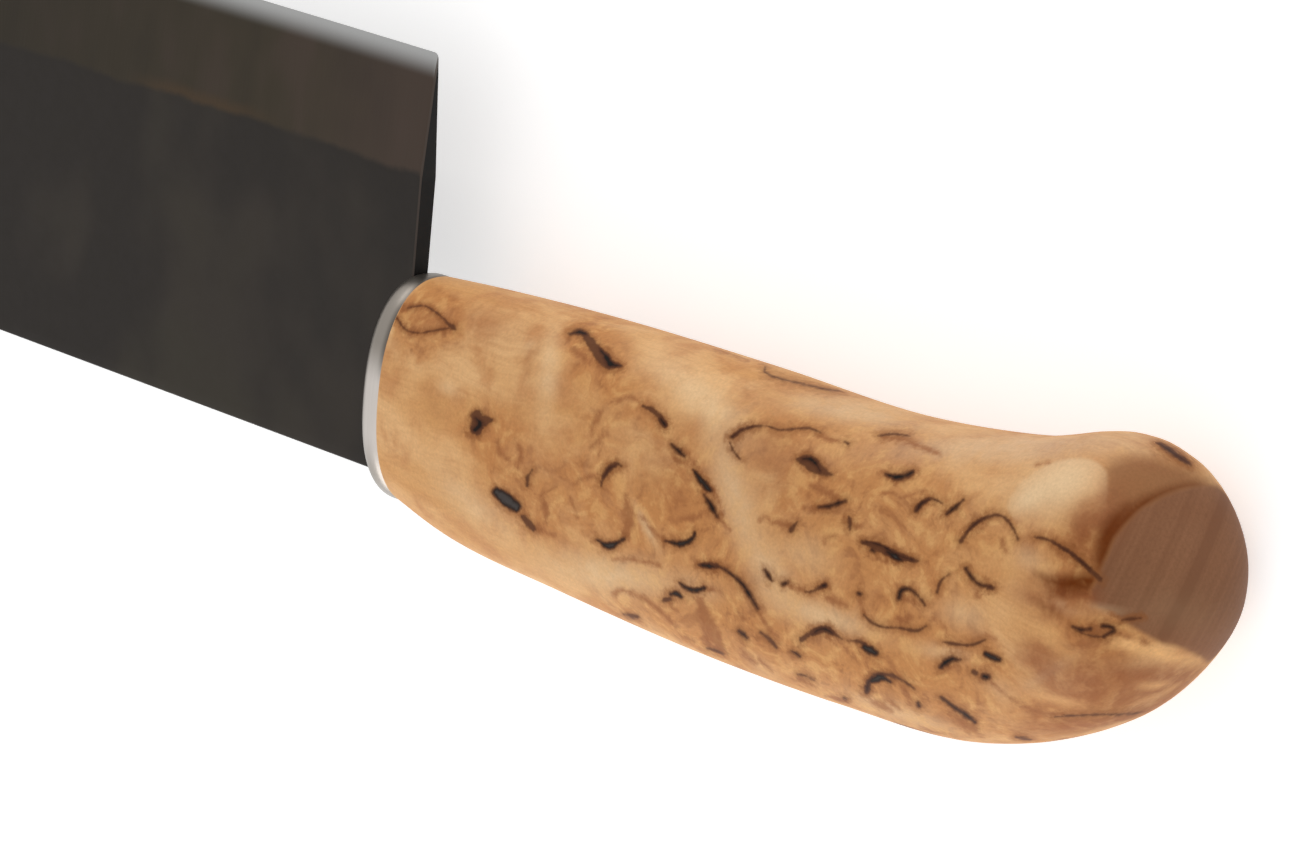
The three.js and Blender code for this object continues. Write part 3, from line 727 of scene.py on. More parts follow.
def insideOutline(plane, outline):
    # signed distance from a closed outline, positive inside
    outline = np.array(outline, float)
    inside = np.zeros(len(plane), bool)
    rim = np.full(len(plane), np.inf)
    for a, b in zip(outline, np.roll(outline, -1, axis=0)):
        crosses = (a[1] > plane[:, 1]) != (b[1] > plane[:, 1])
        at = a[0] + (plane[:, 1] - a[1]) * (b[0] - a[0]) / (b[1] - a[1] + 1e-9)
        inside ^= crosses & (plane[:, 0] < at)
        share = np.clip((plane - a) @ (b - a) / ((b - a) @ (b - a)), 0, 1)
        rim = np.minimum(rim, np.linalg.norm(plane - a - share[:, None] * (b - a), axis=1))
    return np.where(inside, rim, -rim)


def surfacePlaces(points, normals):
    # photo pixels, pixels in a mm, how far the photo shows a place, and the unrolled place in mm
    towards = np.array(eye) - points
    facing = (normals * towards).sum(1) / np.linalg.norm(towards, axis=1)
    plane, perMm = photoPlane(points)
    low, high = figureSpec["facing"]
    shown = np.clip((facing - low) / (high - low), 0, 1)
    aside = (points - np.array(home)) / mm
    turn = np.arctan2(aside[:, 1], -aside[:, 2])
    unrolled = np.stack([aside[:, 0], turn * figureSpec["rollRadius"]], axis=1)
    return plane, perMm, shown, unrolled


def kindDepths(places):
    plane, perMm, shown, unrolled = places
    depths = {}
    for kind in fleckKinds:
        inView = [stroke for stroke in frontStrokes if stroke[0] == kind]
        hidden = [stroke for stroke in hiddenStrokes if stroke[0] == kind]
        front = strokeDepth(plane, perMm, inView)
        back = strokeDepth(unrolled, np.ones(len(unrolled)), hidden)
        front = np.where(shown > 0, front - (1 - shown), figureSpec["outside"])
        back = np.where(shown < 1, back - shown, figureSpec["outside"])
        depths[kind] = np.maximum(front, back)
    return depths


def refineNearFlecks(handle, kinds, reach, cuts, seenOnly):
    # finer faces where the flecks' edges run
    mesh = handle.data
    centres = np.empty(len(mesh.polygons) * 3)
    normals = np.empty(len(mesh.polygons) * 3)
    mesh.polygons.foreach_get("center", centres)
    mesh.polygons.foreach_get("normal", normals)
    places = surfacePlaces(centres.reshape(-1, 3), normals.reshape(-1, 3))
    depths = kindDepths(places)
    chosen = np.max([depths[kind] for kind in kinds], axis=0) > -reach
    if seenOnly:
        shown = places[2]
        chosen &= shown > figureSpec["seen"]
    bpy.ops.object.mode_set(mode="EDIT")
    bpy.ops.mesh.select_mode(type="FACE")
    bpy.ops.mesh.select_all(action="DESELECT")
    bpy.ops.object.mode_set(mode="OBJECT")
    mesh.polygons.foreach_set("select", chosen)
    bpy.ops.object.mode_set(mode="EDIT")
    bpy.ops.mesh.subdivide(number_cuts=cuts, smoothness=1)
    bpy.ops.object.mode_set(mode="OBJECT")
    print("faces refined", int(chosen.sum()), "of", len(chosen))


def markFigure(handle):
    # stores where each point lies in the flecks, the patches and the cuts
    outside = figureSpec["outside"]
    mesh = handle.data
    points = pointsOf(mesh)
    normals = np.empty(len(points) * 3)
    mesh.vertex_normals.foreach_get("vector", normals)
    normals = normals.reshape(-1, 3)
    places = surfacePlaces(points, normals)
    plane, perMm, shown, unrolled = places
    for kind, depth in kindDepths(places).items():
        storeAttribute(mesh, kind + "Depth", depth)

    island = fleckDensity(plane, np.median(perMm), frontStrokes) * shown
    island += fleckDensity(unrolled, 1, hiddenStrokes) * (1 - shown)
    storeAttribute(mesh, "island", np.clip(island / figureSpec["fullIsland"], 0, 1))
    tones = {tone: np.zeros(len(points)) for tone in patchTones}
    for tone, x, y, length, breadth, angle, strength in patches.values():
        ahead = np.array((math.cos(math.radians(angle)), math.sin(math.radians(angle))))
        rel = plane - (x, y)
        u = rel @ ahead / length
        v = (rel[:, 1] * ahead[0] - rel[:, 0] * ahead[1]) / breadth
        tones[tone] += strength * np.exp(-(u ** 2 + v ** 2)) * shown
    for tone, values in tones.items():
        storeAttribute(mesh, tone + "Patch", np.clip(values, 0, 1))
    for name, outline in (("brownShoulder", brownShoulder), ("paleFan", paleFan)):
        depth = insideOutline(plane, outline) / perMm - figureSpec["cutFade"] * (1 - shown)
        storeAttribute(mesh, name, np.where(shown > 0, depth, outside))
    butt = np.clip(insideOutline(plane, endGrain) / perMm, outside, -outside)
    spineSide = np.clip(figureSpec["spineSlope"] * normals[:, 1], 0, 1)
    hiddenButt = -normals[:, 0] - figureSpec["buttTurn"] - figureSpec["spineTurn"] * spineSide
    hiddenButt *= figureSpec["rollRadius"]
    storeAttribute(mesh, "endGrain", butt * shown + hiddenButt * (1 - shown))


refineNearFlecks(handle, fleckKinds[:4], figureSpec["softReach"], figureSpec["softCuts"], False)
refineNearFlecks(handle, ("black", "grey", "brown"), figureSpec["inkReach"], figureSpec["inkCuts"], True)
markFigure(handle)
print("figure marked on", len(handle.data.vertices), "points")


# Curly birch, sanded and oiled: honey-coloured, satin, with fibres that flow round islands of brown flecks
def curlyBirch():
    colours = dict(
        pale="#dfb07c", honey="#d09a62", tan="#c08757", fibre="#ad7648",
        islandPale="#cf985d", island="#b97b46", islandDark="#a2653a", curl="#8a522e",
        blush="#935a35", halo="#88522b", penumbra="#4f2b19", brownInk="#57321e",
        blackInk="#150b06", greyCore="#4c4745",
        cream="#e8c79b", paintedSheen="#c6ad94", bright="#edb67a", stain="#8f5230", amber="#652c00",
        end="#81563b", endLight="#aa7a58", endPore="#6e4932", shoulderBrown="#966742", fan="#e0bd92",
    )
    c = {name: linear(value) for name, value in colours.items()}
    material, tree = newMaterial("oiledCurlyBirch")
    place = addNode(tree, "TexCoord").outputs["Object"]
    marks = {}
    depthNames = [kind + "Depth" for kind in fleckKinds]
    patchNames = [tone + "Patch" for tone in patchTones]
    for name in (*depthNames, *patchNames, "island", "endGrain", "brownShoulder", "paleFan"):
        marks[name] = addNode(tree, "Attribute", {"attribute_name": name}).outputs["Fac"]

    # fibres wander by a millimetre or two, more inside the islands
    swirl = addNode(tree, "TexNoise", Vector=place, Scale=1000 / 9, Detail=2)
    swirl = addNode(tree, "VectorMath", minus, i0=swirl.outputs["Color"], i1=(0.5, 0.5, 0.5))
    swirlSize = addNode(tree, "MapRange", Value=marks["island"], To_Min=3 * mm, To_Max=8 * mm)
    swirl = addNode(tree, "VectorMath", scaled, i0=swirl, Scale=swirlSize)
    flow = addNode(tree, "VectorMath", plus, i0=place, i1=swirl)
    fibrePlace = addNode(tree, "Mapping", Vector=flow, Scale=(1000 / 18, 1000 / 0.5, 1000 / 0.5))
    fibre = addNode(tree, "TexNoise", Vector=fibrePlace, Scale=1, Detail=3, Roughness=0.6)
    cloudPlace = addNode(tree, "Mapping", Vector=flow, Scale=(1000 / 20, 1000 / 6, 1000 / 6))
    cloud = addNode(tree, "TexNoise", Vector=cloudPlace, Scale=1, Detail=2)
    blotch = addNode(tree, "TexNoise", Vector=flow, Scale=1000 / 5, Detail=3, Roughness=0.55)
    quilt = addNode(tree, "TexNoise", Vector=flow, Scale=1000 / 2.4, Detail=3, Roughness=0.6)
    speck = addNode(tree, "TexNoise", Vector=place, Scale=1000 / 0.35, Detail=2, Roughness=0.6)

    # plain wood: clouds, blotches and fibres over the pale ground
    wood = c["pale"]
    grains = (
        (cloud, smooth, 0.32, 0.7, 1.0, "honey"),
        (blotch, smooth, 0.42, 0.7, 0.8, "tan"),
        (fibre, None, 0.42, 0.75, 0.27, "fibre"),
    )
    for grain, blend, start, full, most, colour in grains:
        share = addNode(tree, "MapRange", blend, Value=grain, From_Min=start, From_Max=full, To_Max=most)
        wood = addNode(tree, "Mix", rgba, i0=share, i6=wood, i7=c[colour])

    # islands: quilted in light and dark, with broken curls
    islandWood = c["islandPale"]
    for start, full, most, colour in ((0.36, 0.52, 1.0, "island"), (0.52, 0.72, 0.8, "islandDark")):
        share = addNode(tree, "MapRange", smooth, Value=quilt, From_Min=start, From_Max=full, To_Max=most)
        islandWood = addNode(tree, "Mix", rgba, i0=share, i6=islandWood, i7=c[colour])
    islandEdge = addNode(tree, "MapRange", Value=blotch, To_Min=-0.35, To_Max=0.35)
    islandEdge = addNode(tree, "Math", plus, i0=marks["island"], i1=islandEdge)
    islandStep = addNode(tree, "MapRange", smooth, Value=islandEdge, From_Min=0.1, From_Max=0.9, To_Max=0.7)
    wood = addNode(tree, "Mix", rgba, i0=islandStep, i6=wood, i7=islandWood)
    curl = addNode(tree, "TexNoise", Vector=flow, Scale=1000 / 2.6, Detail=1)
    curl = addNode(tree, "Math", minus, i0=curl, i1=0.5)
    curl = addNode(tree, "Math", absolute, i0=curl)
    curl = addNode(tree, "MapRange", smooth, Value=curl, From_Min=0.12, From_Max=0.0, To_Max=0.5)
    broken = addNode(tree, "MapRange", smooth, Value=quilt, From_Min=0.5, From_Max=0.64)
    curl = addNode(tree, "Math", times, i0=curl, i1=broken)
    curl = addNode(tree, "Math", times, i0=curl, i1=islandStep)
    wood = addNode(tree, "Mix", rgba, i0=curl, i6=wood, i7=c["curl"])

    # end grain: darker, with faint straight growth rings, below a mid-brown shoulder and beside a pale fan
    ringSpacing = 2.2  # mm
    acrossRings = (0.756, -0.353, 0.55)  # direction in which they follow each other
    ringScale = [part * 1000 / ringSpacing for part in acrossRings]
    ringsAcross = addNode(tree, "VectorMath", {"operation": "DOT_PRODUCT"}, i0=place, i1=ringScale)
    rings = addNode(tree, "TexNoise", {"noise_dimensions": "1D"}, W=ringsAcross.outputs["Value"], Scale=1,
                    Detail=3, Roughness=0.6)
    ringStep = addNode(tree, "MapRange", Value=rings, From_Min=0.35, From_Max=0.75, To_Max=0.55)
    endWood = addNode(tree, "Mix", rgba, i0=ringStep, i6=c["end"], i7=c["endLight"])
    pores = addNode(tree, "MapRange", Value=speck, From_Min=0.35, From_Max=0.75, To_Max=0.6)
    endWood = addNode(tree, "Mix", rgba, i0=pores, i6=endWood, i7=c["endPore"])
    buttWaver = addNode(tree, "MapRange", Value=quilt, To_Min=-0.2, To_Max=0.2)
    # each cut starts and is full at a depth in mm inside its outline
    cuts = (
        ("brownShoulder", c["shoulderBrown"], -1.3, 0.9, 1.0),
        ("endGrain", endWood, -0.4, 0.4, 1.0),
        ("paleFan", c["fan"], -0.2, 0.3, marks["fanPatch"]),
    )
    cutShare = {}
    for mark, colour, start, full, most in cuts:
        rim = addNode(tree, "Math", plus, i0=marks[mark], i1=buttWaver)
        rim = addNode(tree, "MapRange", smooth, Value=rim, From_Min=start, From_Max=full)
        rim = addNode(tree, "Math", times, i0=rim, i1=most)
        wood = addNode(tree, "Mix", rgba, i0=rim, i6=wood, i7=colour)
        cutShare[mark] = rim

    # soft patches, broken by the quilting
    patchBreak = addNode(tree, "MapRange", Value=quilt, From_Min=0.3, From_Max=0.55, To_Min=0.6)
    tones = (
        ("palePatch", "cream", 0.8),
        # the next tone is a painted sheen along the top of the grip
        ("paintedSheenPatch", "paintedSheen", 0.6),
        ("brownPatch", "stain", 0.78),
        ("amberPatch", "amber", 0.9),
        ("brightPatch", "bright", 1.0),
    )
    for tone, colour, most in tones:
        patch = addNode(tree, "MapRange", Value=marks[tone], To_Max=most)
        patch = addNode(tree, "Math", times, i0=patch, i1=patchBreak)
        wood = addNode(tree, "Mix", rgba, i0=patch, i6=wood, i7=c[colour])

    # amber stains stop at the end grain
    sideGrain = addNode(tree, "MapRange", Value=cutShare["endGrain"], To_Min=1.0, To_Max=0.0)
    amber = addNode(tree, "Math", plus, i0=marks["amberDepth"], i1=buttWaver)
    amber = addNode(tree, "MapRange", smooth, Value=amber, From_Min=-1.5, From_Max=0.25)
    amber = addNode(tree, "Math", times, i0=amber, i1=sideGrain)
    wood = addNode(tree, "Mix", rgba, i0=amber, i6=wood, i7=c["amber"])

    # flecks: each layer has a ragged edge of its own softness in mm, from the blush to the black
    ragged = addNode(tree, "TexNoise", Vector=place, Scale=1000 / 0.9, Detail=3, Roughness=0.65)
    layers = (
        ("softDepth", "blush", -0.35, 0.4, 0.75, 0.5),
        ("brownDepth", "halo", -0.9, 0.1, 0.5, 0.8),
        ("blackDepth", "halo", -1.0, 0.0, 0.55, 0.8),
        ("greyDepth", "halo", -0.9, 0.0, 0.55, 0.8),
        ("brownDepth", "brownInk", -0.16, 0.18, 0.9, 0.24),
        ("blackDepth", "penumbra", -0.26, 0.1, 0.88, 0.24),
        ("greyDepth", "penumbra", -0.22, 0.1, 0.85, 0.24),
        ("blackDepth", "blackInk", 0.0, 0.3, 1.0, 0.2),
        ("greyDepth", "blackInk", -0.02, 0.26, 0.92, 0.22),
        ("greyDepth", "greyCore", 0.15, 0.6, 0.65, 0.3),
    )
    for mark, colour, start, full, most, wander in layers:
        waver = addNode(tree, "MapRange", Value=ragged, From_Min=0.25, From_Max=0.75, To_Min=-wander / 2,
                        To_Max=wander / 2)
        depth = addNode(tree, "Math", plus, i0=marks[mark], i1=waver)
        ink = addNode(tree, "MapRange", smooth, Value=depth, From_Min=start, From_Max=full, To_Max=most)
        wood = addNode(tree, "Mix", rgba, i0=ink, i6=wood, i7=c[colour])
    speckStep = addNode(tree, "MapRange", Value=speck, From_Min=0.25, From_Max=0.75, To_Min=0.92,
                        To_Max=1.08)
    wood = addNode(tree, "VectorMath", scaled, i0=wood, Scale=speckStep)

    gloss = addNode(tree, "MapRange", Value=fibre, To_Min=0.48, To_Max=0.62)
    relief = addNode(tree, "Bump", Height=fibre, Strength=0.2, Distance=0.05 * mm)
    shader = addNode(tree, "BsdfPrincipled", Base_Color=wood, Roughness=gloss, IOR=1.47,
                     Specular_IOR_Level=0.1, Normal=relief)
    addNode(tree, "OutputMaterial", Surface=shader)
    return material


finishPiece(handle, "birchHandle", "handle", curlyBirch())

# Ferrule: plate with a rounded rim, in the handle's own outline, with a slot for the tang
ferruleSpec = dict(
    rimSteps=10,
    bulge=0.32 * mm,  # how far the rim swells
    swellAt=0.45,  # share of the thickness where it is widest
    rimPower=3,  # how late the rim turns in
    smoothing=1,  # subdivision levels
    slotGap=0.3 * mm,
    sharpAngle=30,  # degrees
)
tangSpec = dict(length=68 * mm, height=11 * mm, endHeight=6 * mm, stock=2.2 * mm, point=4 * mm, root=4 * mm)


def makeFerrule():
    spec = ferruleSpec
    bpy.ops.object.select_all(action="DESELECT")
    _, middle, tall, wide = handleSections()[0]
    ferrule = sectionRing(handleSpec["sides"], handleSpec["roundness"])
    sections = []
    for i in range(spec["rimSteps"] + 1):
        share = i / spec["rimSteps"]
        x = ferruleLow.x + (ferruleHigh.x - ferruleLow.x) * share
        inset = spec["bulge"] * abs(2 * (share - spec["swellAt"])) ** spec["rimPower"]
        sections.append((x, middle, tall - inset, wide - inset))
    extrudeThrough(sections)
    bpy.ops.object.mode_set(mode="OBJECT")
    applyModifier(ferrule, "SUBSURF", levels=spec["smoothing"], render_levels=spec["smoothing"])
    closeEnds()
    reach = Vector((0, tangSpec["height"] / 2 + spec["slotGap"], tangSpec["stock"] / 2 + spec["slotGap"]))
    thick = Vector((ferruleHigh.x - ferruleLow.x, 0, 0))
    cutWith(ferrule, boxBetween(home - reach - 2 * thick, home + reach + thick))
    smoothShade(ferrule, spec["sharpAngle"])
    return ferrule


ferrule = makeFerrule()


# Nickel silver, brushed round the rim: satin, faintly warm, with painted shade on two sides, along the
# front rim and by the wood
def nickelSilver():
    colours = dict(bright="#cbc4be", brushed="#beb7b1", paintedShade="#7d766d", seamShadow="#554f49")
    c = {name: linear(value) for name, value in colours.items()}
    material, tree = newMaterial("brushedNickelSilver")
    place = addNode(tree, "TexCoord").outputs["Object"]
    brushPlace = addNode(tree, "Mapping", Vector=place, Scale=(1000 / 0.08, 1000 / 6, 1000 / 6))
    brush = addNode(tree, "TexNoise", Vector=brushPlace, Scale=1, Detail=3)
    tint = addNode(tree, "Mix", rgba, i0=brush, i6=c["bright"], i7=c["brushed"])
    axes = addNode(tree, "SeparateXYZ", i0=place).outputs
    # painted shade: darker on the edge's side, on the spine's side and along the front rim
    paintedShading = dict(
        edgeSide=(axes["Y"], home.y - 1 * mm, home.y - 6 * mm, 0.85),
        spineSide=(axes["Y"], home.y + 4 * mm, home.y + 10 * mm, 0.75),
        frontRim=(axes["X"], ferruleHigh.x - 0.9 * mm, ferruleHigh.x - 0.1 * mm, 0.75),
    )
    shares = {}
    for name, (measure, start, full, most) in paintedShading.items():
        shares[name] = addNode(tree, "MapRange", smooth, Value=measure, From_Min=start, From_Max=full,
                               To_Max=most)
        tint = addNode(tree, "Mix", rgba, i0=shares[name], i6=tint, i7=c["paintedShade"])
    # painted shadow: darker along the seam next to the wood, on the edge's side only
    seam = addNode(tree, "MapRange", smooth, Value=axes["X"], From_Min=ferruleLow.x + 0.9 * mm,
                   From_Max=ferruleLow.x + 0.1 * mm)
    seam = addNode(tree, "Math", times, i0=seam, i1=shares["edgeSide"])
    tint = addNode(tree, "Mix", rgba, i0=seam, i6=tint, i7=c["seamShadow"])
    gloss = addNode(tree, "MapRange", Value=brush, To_Min=0.28, To_Max=0.42)
    relief = addNode(tree, "Bump", Height=brush, Strength=0.15, Distance=0.02 * mm)
    shader = addNode(tree, "BsdfPrincipled", Base_Color=tint, Metallic=1.0, Roughness=gloss, Normal=relief)
    addNode(tree, "OutputMaterial", Surface=shader)
    return material


finishPiece(ferrule, "rimmedFerrule", "ferrule", nickelSilver())


# Cured epoxy: glossy clear amber with a few small bubbles
def amberEpoxy():
    colours = dict(clear="#d9c58f", deep="#c3a45f", bubble="#efe4c4")
    c = {name: linear(value) for name, value in colours.items()}
    material, tree = newMaterial("curedAmberEpoxy")
    place = addNode(tree, "TexCoord").outputs["Object"]
    bubbles = addNode(tree, "TexVoronoi", Vector=place, Scale=1000 / 2.5)
    bubble = addNode(tree, "MapRange", smooth, Value=bubbles.outputs["Distance"], From_Min=0.2,
                     From_Max=0.1)
    cloud = addNode(tree, "TexNoise", Vector=place, Scale=1000 / 8, Detail=2)
    tint = addNode(tree, "Mix", rgba, i0=cloud, i6=c["clear"], i7=c["deep"])
    tint = addNode(tree, "Mix", rgba, i0=bubble, i6=tint, i7=c["bubble"])
    gloss = addNode(tree, "MapRange", Value=cloud, To_Min=0.12, To_Max=0.22)
    relief = addNode(tree, "Bump", Height=bubble, Strength=0.3, Distance=0.1 * mm)
    shader = addNode(tree, "BsdfPrincipled", Base_Color=tint, Roughness=gloss, IOR=1.55, Normal=relief)
    addNode(tree, "OutputMaterial", Surface=shader)
    return material


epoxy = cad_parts["epoxy_bed"]
epoxy.data.materials.clear()
epoxy.data.materials.append(amberEpoxy())
print("ferrule and adhesive finished")

# Blade: forged flats, a ground bevel with a wavering shoulder, and a honed edge
bladeSpec = dict(
    length=175 * mm,  # from the ferrule to the point
    tipRise=9 * mm,  # point above the line of the heel's edge
    bellyPower=3,
    noseLength=62 * mm,  # over which the spine drops to the point
    noseReach=32 * mm,
    tipLean=9 * mm,
    tipDrop=24 * mm,
    tipStop=21.7 / 22,  # share of the nose curve that is drawn
    heelStock=2.4 * mm,
    tipStock=1.6 * mm,
    bevelWidth=13.4 * mm,
    edgeWidth=1.8 * mm,
    edgeStock=0.5 * mm,
    grindShare=0.85,  # most of the height that the bevel takes
    spineEase=0.35 * mm,
    spineCrown=0.05 * mm,
    choilEase=0.16 * mm,  # chamfer round the heel's end face
    heelRound=0.7 * mm,  # radius of the edge's corner at the heel
    heelColumns=8,
    waver=0.45 * mm,  # of the shoulder, where the grinding wheel ran out
    waverLong=11 * mm,  # its slow waves
    waverShort=3.2 * mm,  # and its quick ones
    quickShare=0.45,
    waverFull=25 * mm,  # height of blade below which it fades out
    unevenness=0.035 * mm,  # hammered flats
    hammerMarks=(16 * mm, 11 * mm),  # length and height
    hammerBias=0.5,  # how much deeper the hollows are than the bumps are high
    noiseRows=dict(slow=5, quick=9, hammer=3),  # where in the noise each pattern is taken
    quickLayer=4,
    weld=0.002 * mm,  # points closer than this are merged
    sharpAngle=20,  # degrees
    spineColumns=150,
    noseColumns=90,
    rows=dict(crown=2, ease=3, flat=26, bevel=12, hone=4),
)


def bladeEdge(x):
    # height of the cutting edge, x from the ferrule's front
    spec = bladeSpec
    corner = np.clip(1 - np.asarray(x) / spec["heelRound"], 0, 1)
    rise = spec["heelRound"] * (1 - np.sqrt(1 - corner ** 2))
    return bladeLow.y + rise + spec["tipRise"] * np.clip(x / spec["length"], 0, 1) ** spec["bellyPower"]


def bladeColumns():
    # places along the blade, each with the spine's height there
    spec = bladeSpec
    noseStart = spec["length"] - spec["noseLength"]
    tipY = float(bladeEdge(spec["length"]))
    bends = np.array([
        (noseStart, bladeHigh.y),
        (noseStart + spec["noseReach"], bladeHigh.y),
        (spec["length"] - spec["tipLean"], tipY + spec["tipDrop"]),
        (spec["length"], tipY),
    ])
    t = np.linspace(0, spec["tipStop"], spec["noseColumns"] + 1)[:, None]
    weights = np.hstack([(1 - t) ** 3, 3 * (1 - t) ** 2 * t, 3 * (1 - t) * t ** 2, t ** 3])
    nose = weights @ bends
    heel = spec["heelRound"] * np.linspace(0, 1, spec["heelColumns"], endpoint=False) ** 2
    straight = np.linspace(spec["heelRound"], noseStart, spec["spineColumns"], endpoint=False)
    return [(x, bladeHigh.y) for x in (*heel, *straight)] + [tuple(point) for point in nose]


def bevelRun(x, top, side):
    # height of the ground bevel; side is 1 for the right face and -1 for the left
    spec = bladeSpec
    rows = spec["noiseRows"]
    height = top - bladeEdge(x)
    slow = noise.noise(Vector((x / spec["waverLong"], side * rows["slow"], 0)))
    quick = noise.noise(Vector((x / spec["waverShort"], side * rows["quick"], spec["quickLayer"])))
    waver = spec["waver"] * (slow + spec["quickShare"] * quick)
    return min(spec["bevelWidth"], spec["grindShare"] * height) + waver * min(1, height / spec["waverFull"])


def bladeSection(x, top, side):
    # points from the spine's middle round one face to the edge
    spec = bladeSpec
    rows = spec["rows"]
    edge = bladeEdge(x)
    height = top - edge
    run = bevelRun(x, top, side)
    hone = spec["edgeWidth"] * min(1, run / spec["bevelWidth"])
    honed = spec["edgeStock"] / 2 * hone / spec["edgeWidth"]
    slope = (spec["heelStock"] - spec["edgeStock"]) / 2 / (spec["bevelWidth"] - spec["edgeWidth"])
    tapered = spec["heelStock"] + (spec["tipStock"] - spec["heelStock"]) * x / spec["length"]
    flat = min(tapered / 2, honed + (run - hone) * slope)
    ease = min(spec["spineEase"], flat / 2, (height - run) / 2)
    markLength, markHeight = spec["hammerMarks"]
    hammerRow = side * spec["noiseRows"]["hammer"]
    points = []
    for i in range(rows["crown"]):
        share = i / rows["crown"]
        crown = spec["spineCrown"] * share ** 2 * ease / spec["spineEase"]
        points.append((top - crown, (flat - ease) * share))
    for i in range(rows["ease"]):
        angle = math.pi / 2 * i / rows["ease"]
        points.append((top - ease + ease * math.cos(angle), flat - ease + ease * math.sin(angle)))
    shoulder = edge + run
    for i in range(rows["flat"]):
        share = i / rows["flat"]
        y = top - ease + (shoulder - top + ease) * share
        hammer = noise.noise(Vector((x / markLength, y / markHeight, hammerRow))) - spec["hammerBias"]
        points.append((y, flat + spec["unevenness"] * hammer * math.sin(math.pi * share)))
    for i in range(rows["bevel"]):
        share = i / rows["bevel"]
        points.append((shoulder + (edge + hone - shoulder) * share, flat + (honed - flat) * share))
    for i in range(rows["hone"] + 1):
        share = i / rows["hone"]
        points.append((edge + hone * (1 - share), honed * (1 - share)))
    shrink = spec["choilEase"] * max(0, 1 - x / spec["choilEase"])
    return [(y, max(0, z - shrink * z / (z + shrink + 1e-9))) for y, z in points]


def makeBladeFace(side):
    columns = bladeColumns()
    sections = np.array([bladeSection(x, top, side) for x, top in columns])
    count = sections.shape[1]
    bpy.ops.mesh.primitive_grid_add(x_subdivisions=len(columns) - 1, y_subdivisions=count - 1, size=1)
    face = bpy.context.object
    points = pointsOf(face.data)
    column = np.rint((points[:, 0] + 0.5) * (len(columns) - 1)).astype(int)
    row = np.rint((points[:, 1] + 0.5) * (count - 1)).astype(int)
    points[:, 0] = home.x + np.array([x for x, top in columns])[column]
    points[:, 1] = sections[column, row, 0]
    points[:, 2] = home.z + side * sections[column, row, 1]
    face.data.vertices.foreach_set("co", points.ravel())
    return face


def makeTang():
    spec = tangSpec
    reach = Vector((spec["root"], spec["height"] / 2, spec["stock"] / 2))
    tang = boxBetween(home - Vector((0, reach.y, reach.z)), home + reach)
    for polygon in tang.data.polygons:
        polygon.select = polygon.normal.x < -0.9  # the end face that looks towards the butt
    bpy.ops.object.mode_set(mode="EDIT")
    bpy.ops.mesh.select_mode(type="FACE")
    steps = ((spec["length"] - spec["point"], spec["endHeight"] / spec["height"]),
             (spec["point"], (spec["endHeight"] - spec["point"]) / spec["endHeight"]))
    for length, taper in steps:
        bpy.ops.mesh.extrude_region_move(TRANSFORM_OT_translate={"value": (-length, 0, 0)})
        bpy.ops.transform.resize(value=(1, taper, 1), center_override=home)
    bpy.ops.object.mode_set(mode="OBJECT")
    return tang


def makeBlade():
    bpy.ops.object.select_all(action="DESELECT")
    left = makeBladeFace(-1)
    blade = makeBladeFace(1)
    left.select_set(True)
    bpy.ops.object.join()
    bpy.ops.object.mode_set(mode="EDIT")
    bpy.ops.mesh.select_all(action="SELECT")
    bpy.ops.mesh.remove_doubles(threshold=bladeSpec["weld"])
    bpy.ops.object.mode_set(mode="OBJECT")
    closeEnds()
    tang = makeTang()
    cutWith(blade, tang, "UNION")
    smoothShade(blade, bladeSpec["sharpAngle"])
    return blade


def markBlade(blade):
    # mm below the bevel's shoulder, and mm above the cutting edge
    points = pointsOf(blade.data)
    columns = bladeColumns()
    xs = [x for x, top in columns]
    x = points[:, 0] - home.x
    runs = {side: [bevelRun(cx, top, side) for cx, top in columns] for side in (1, -1)}
    run = np.where(points[:, 2] >= home.z, np.interp(x, xs, runs[1]), np.interp(x, xs, runs[-1]))
    aboveEdge = points[:, 1] - bladeEdge(x)
    storeAttribute(blade.data, "grindDepth", (run - aboveEdge) / mm)
    storeAttribute(blade.data, "aboveEdge", aboveEdge / mm)


blade = makeBlade()
markBlade(blade)
print("blade modelled", len(blade.data.vertices))
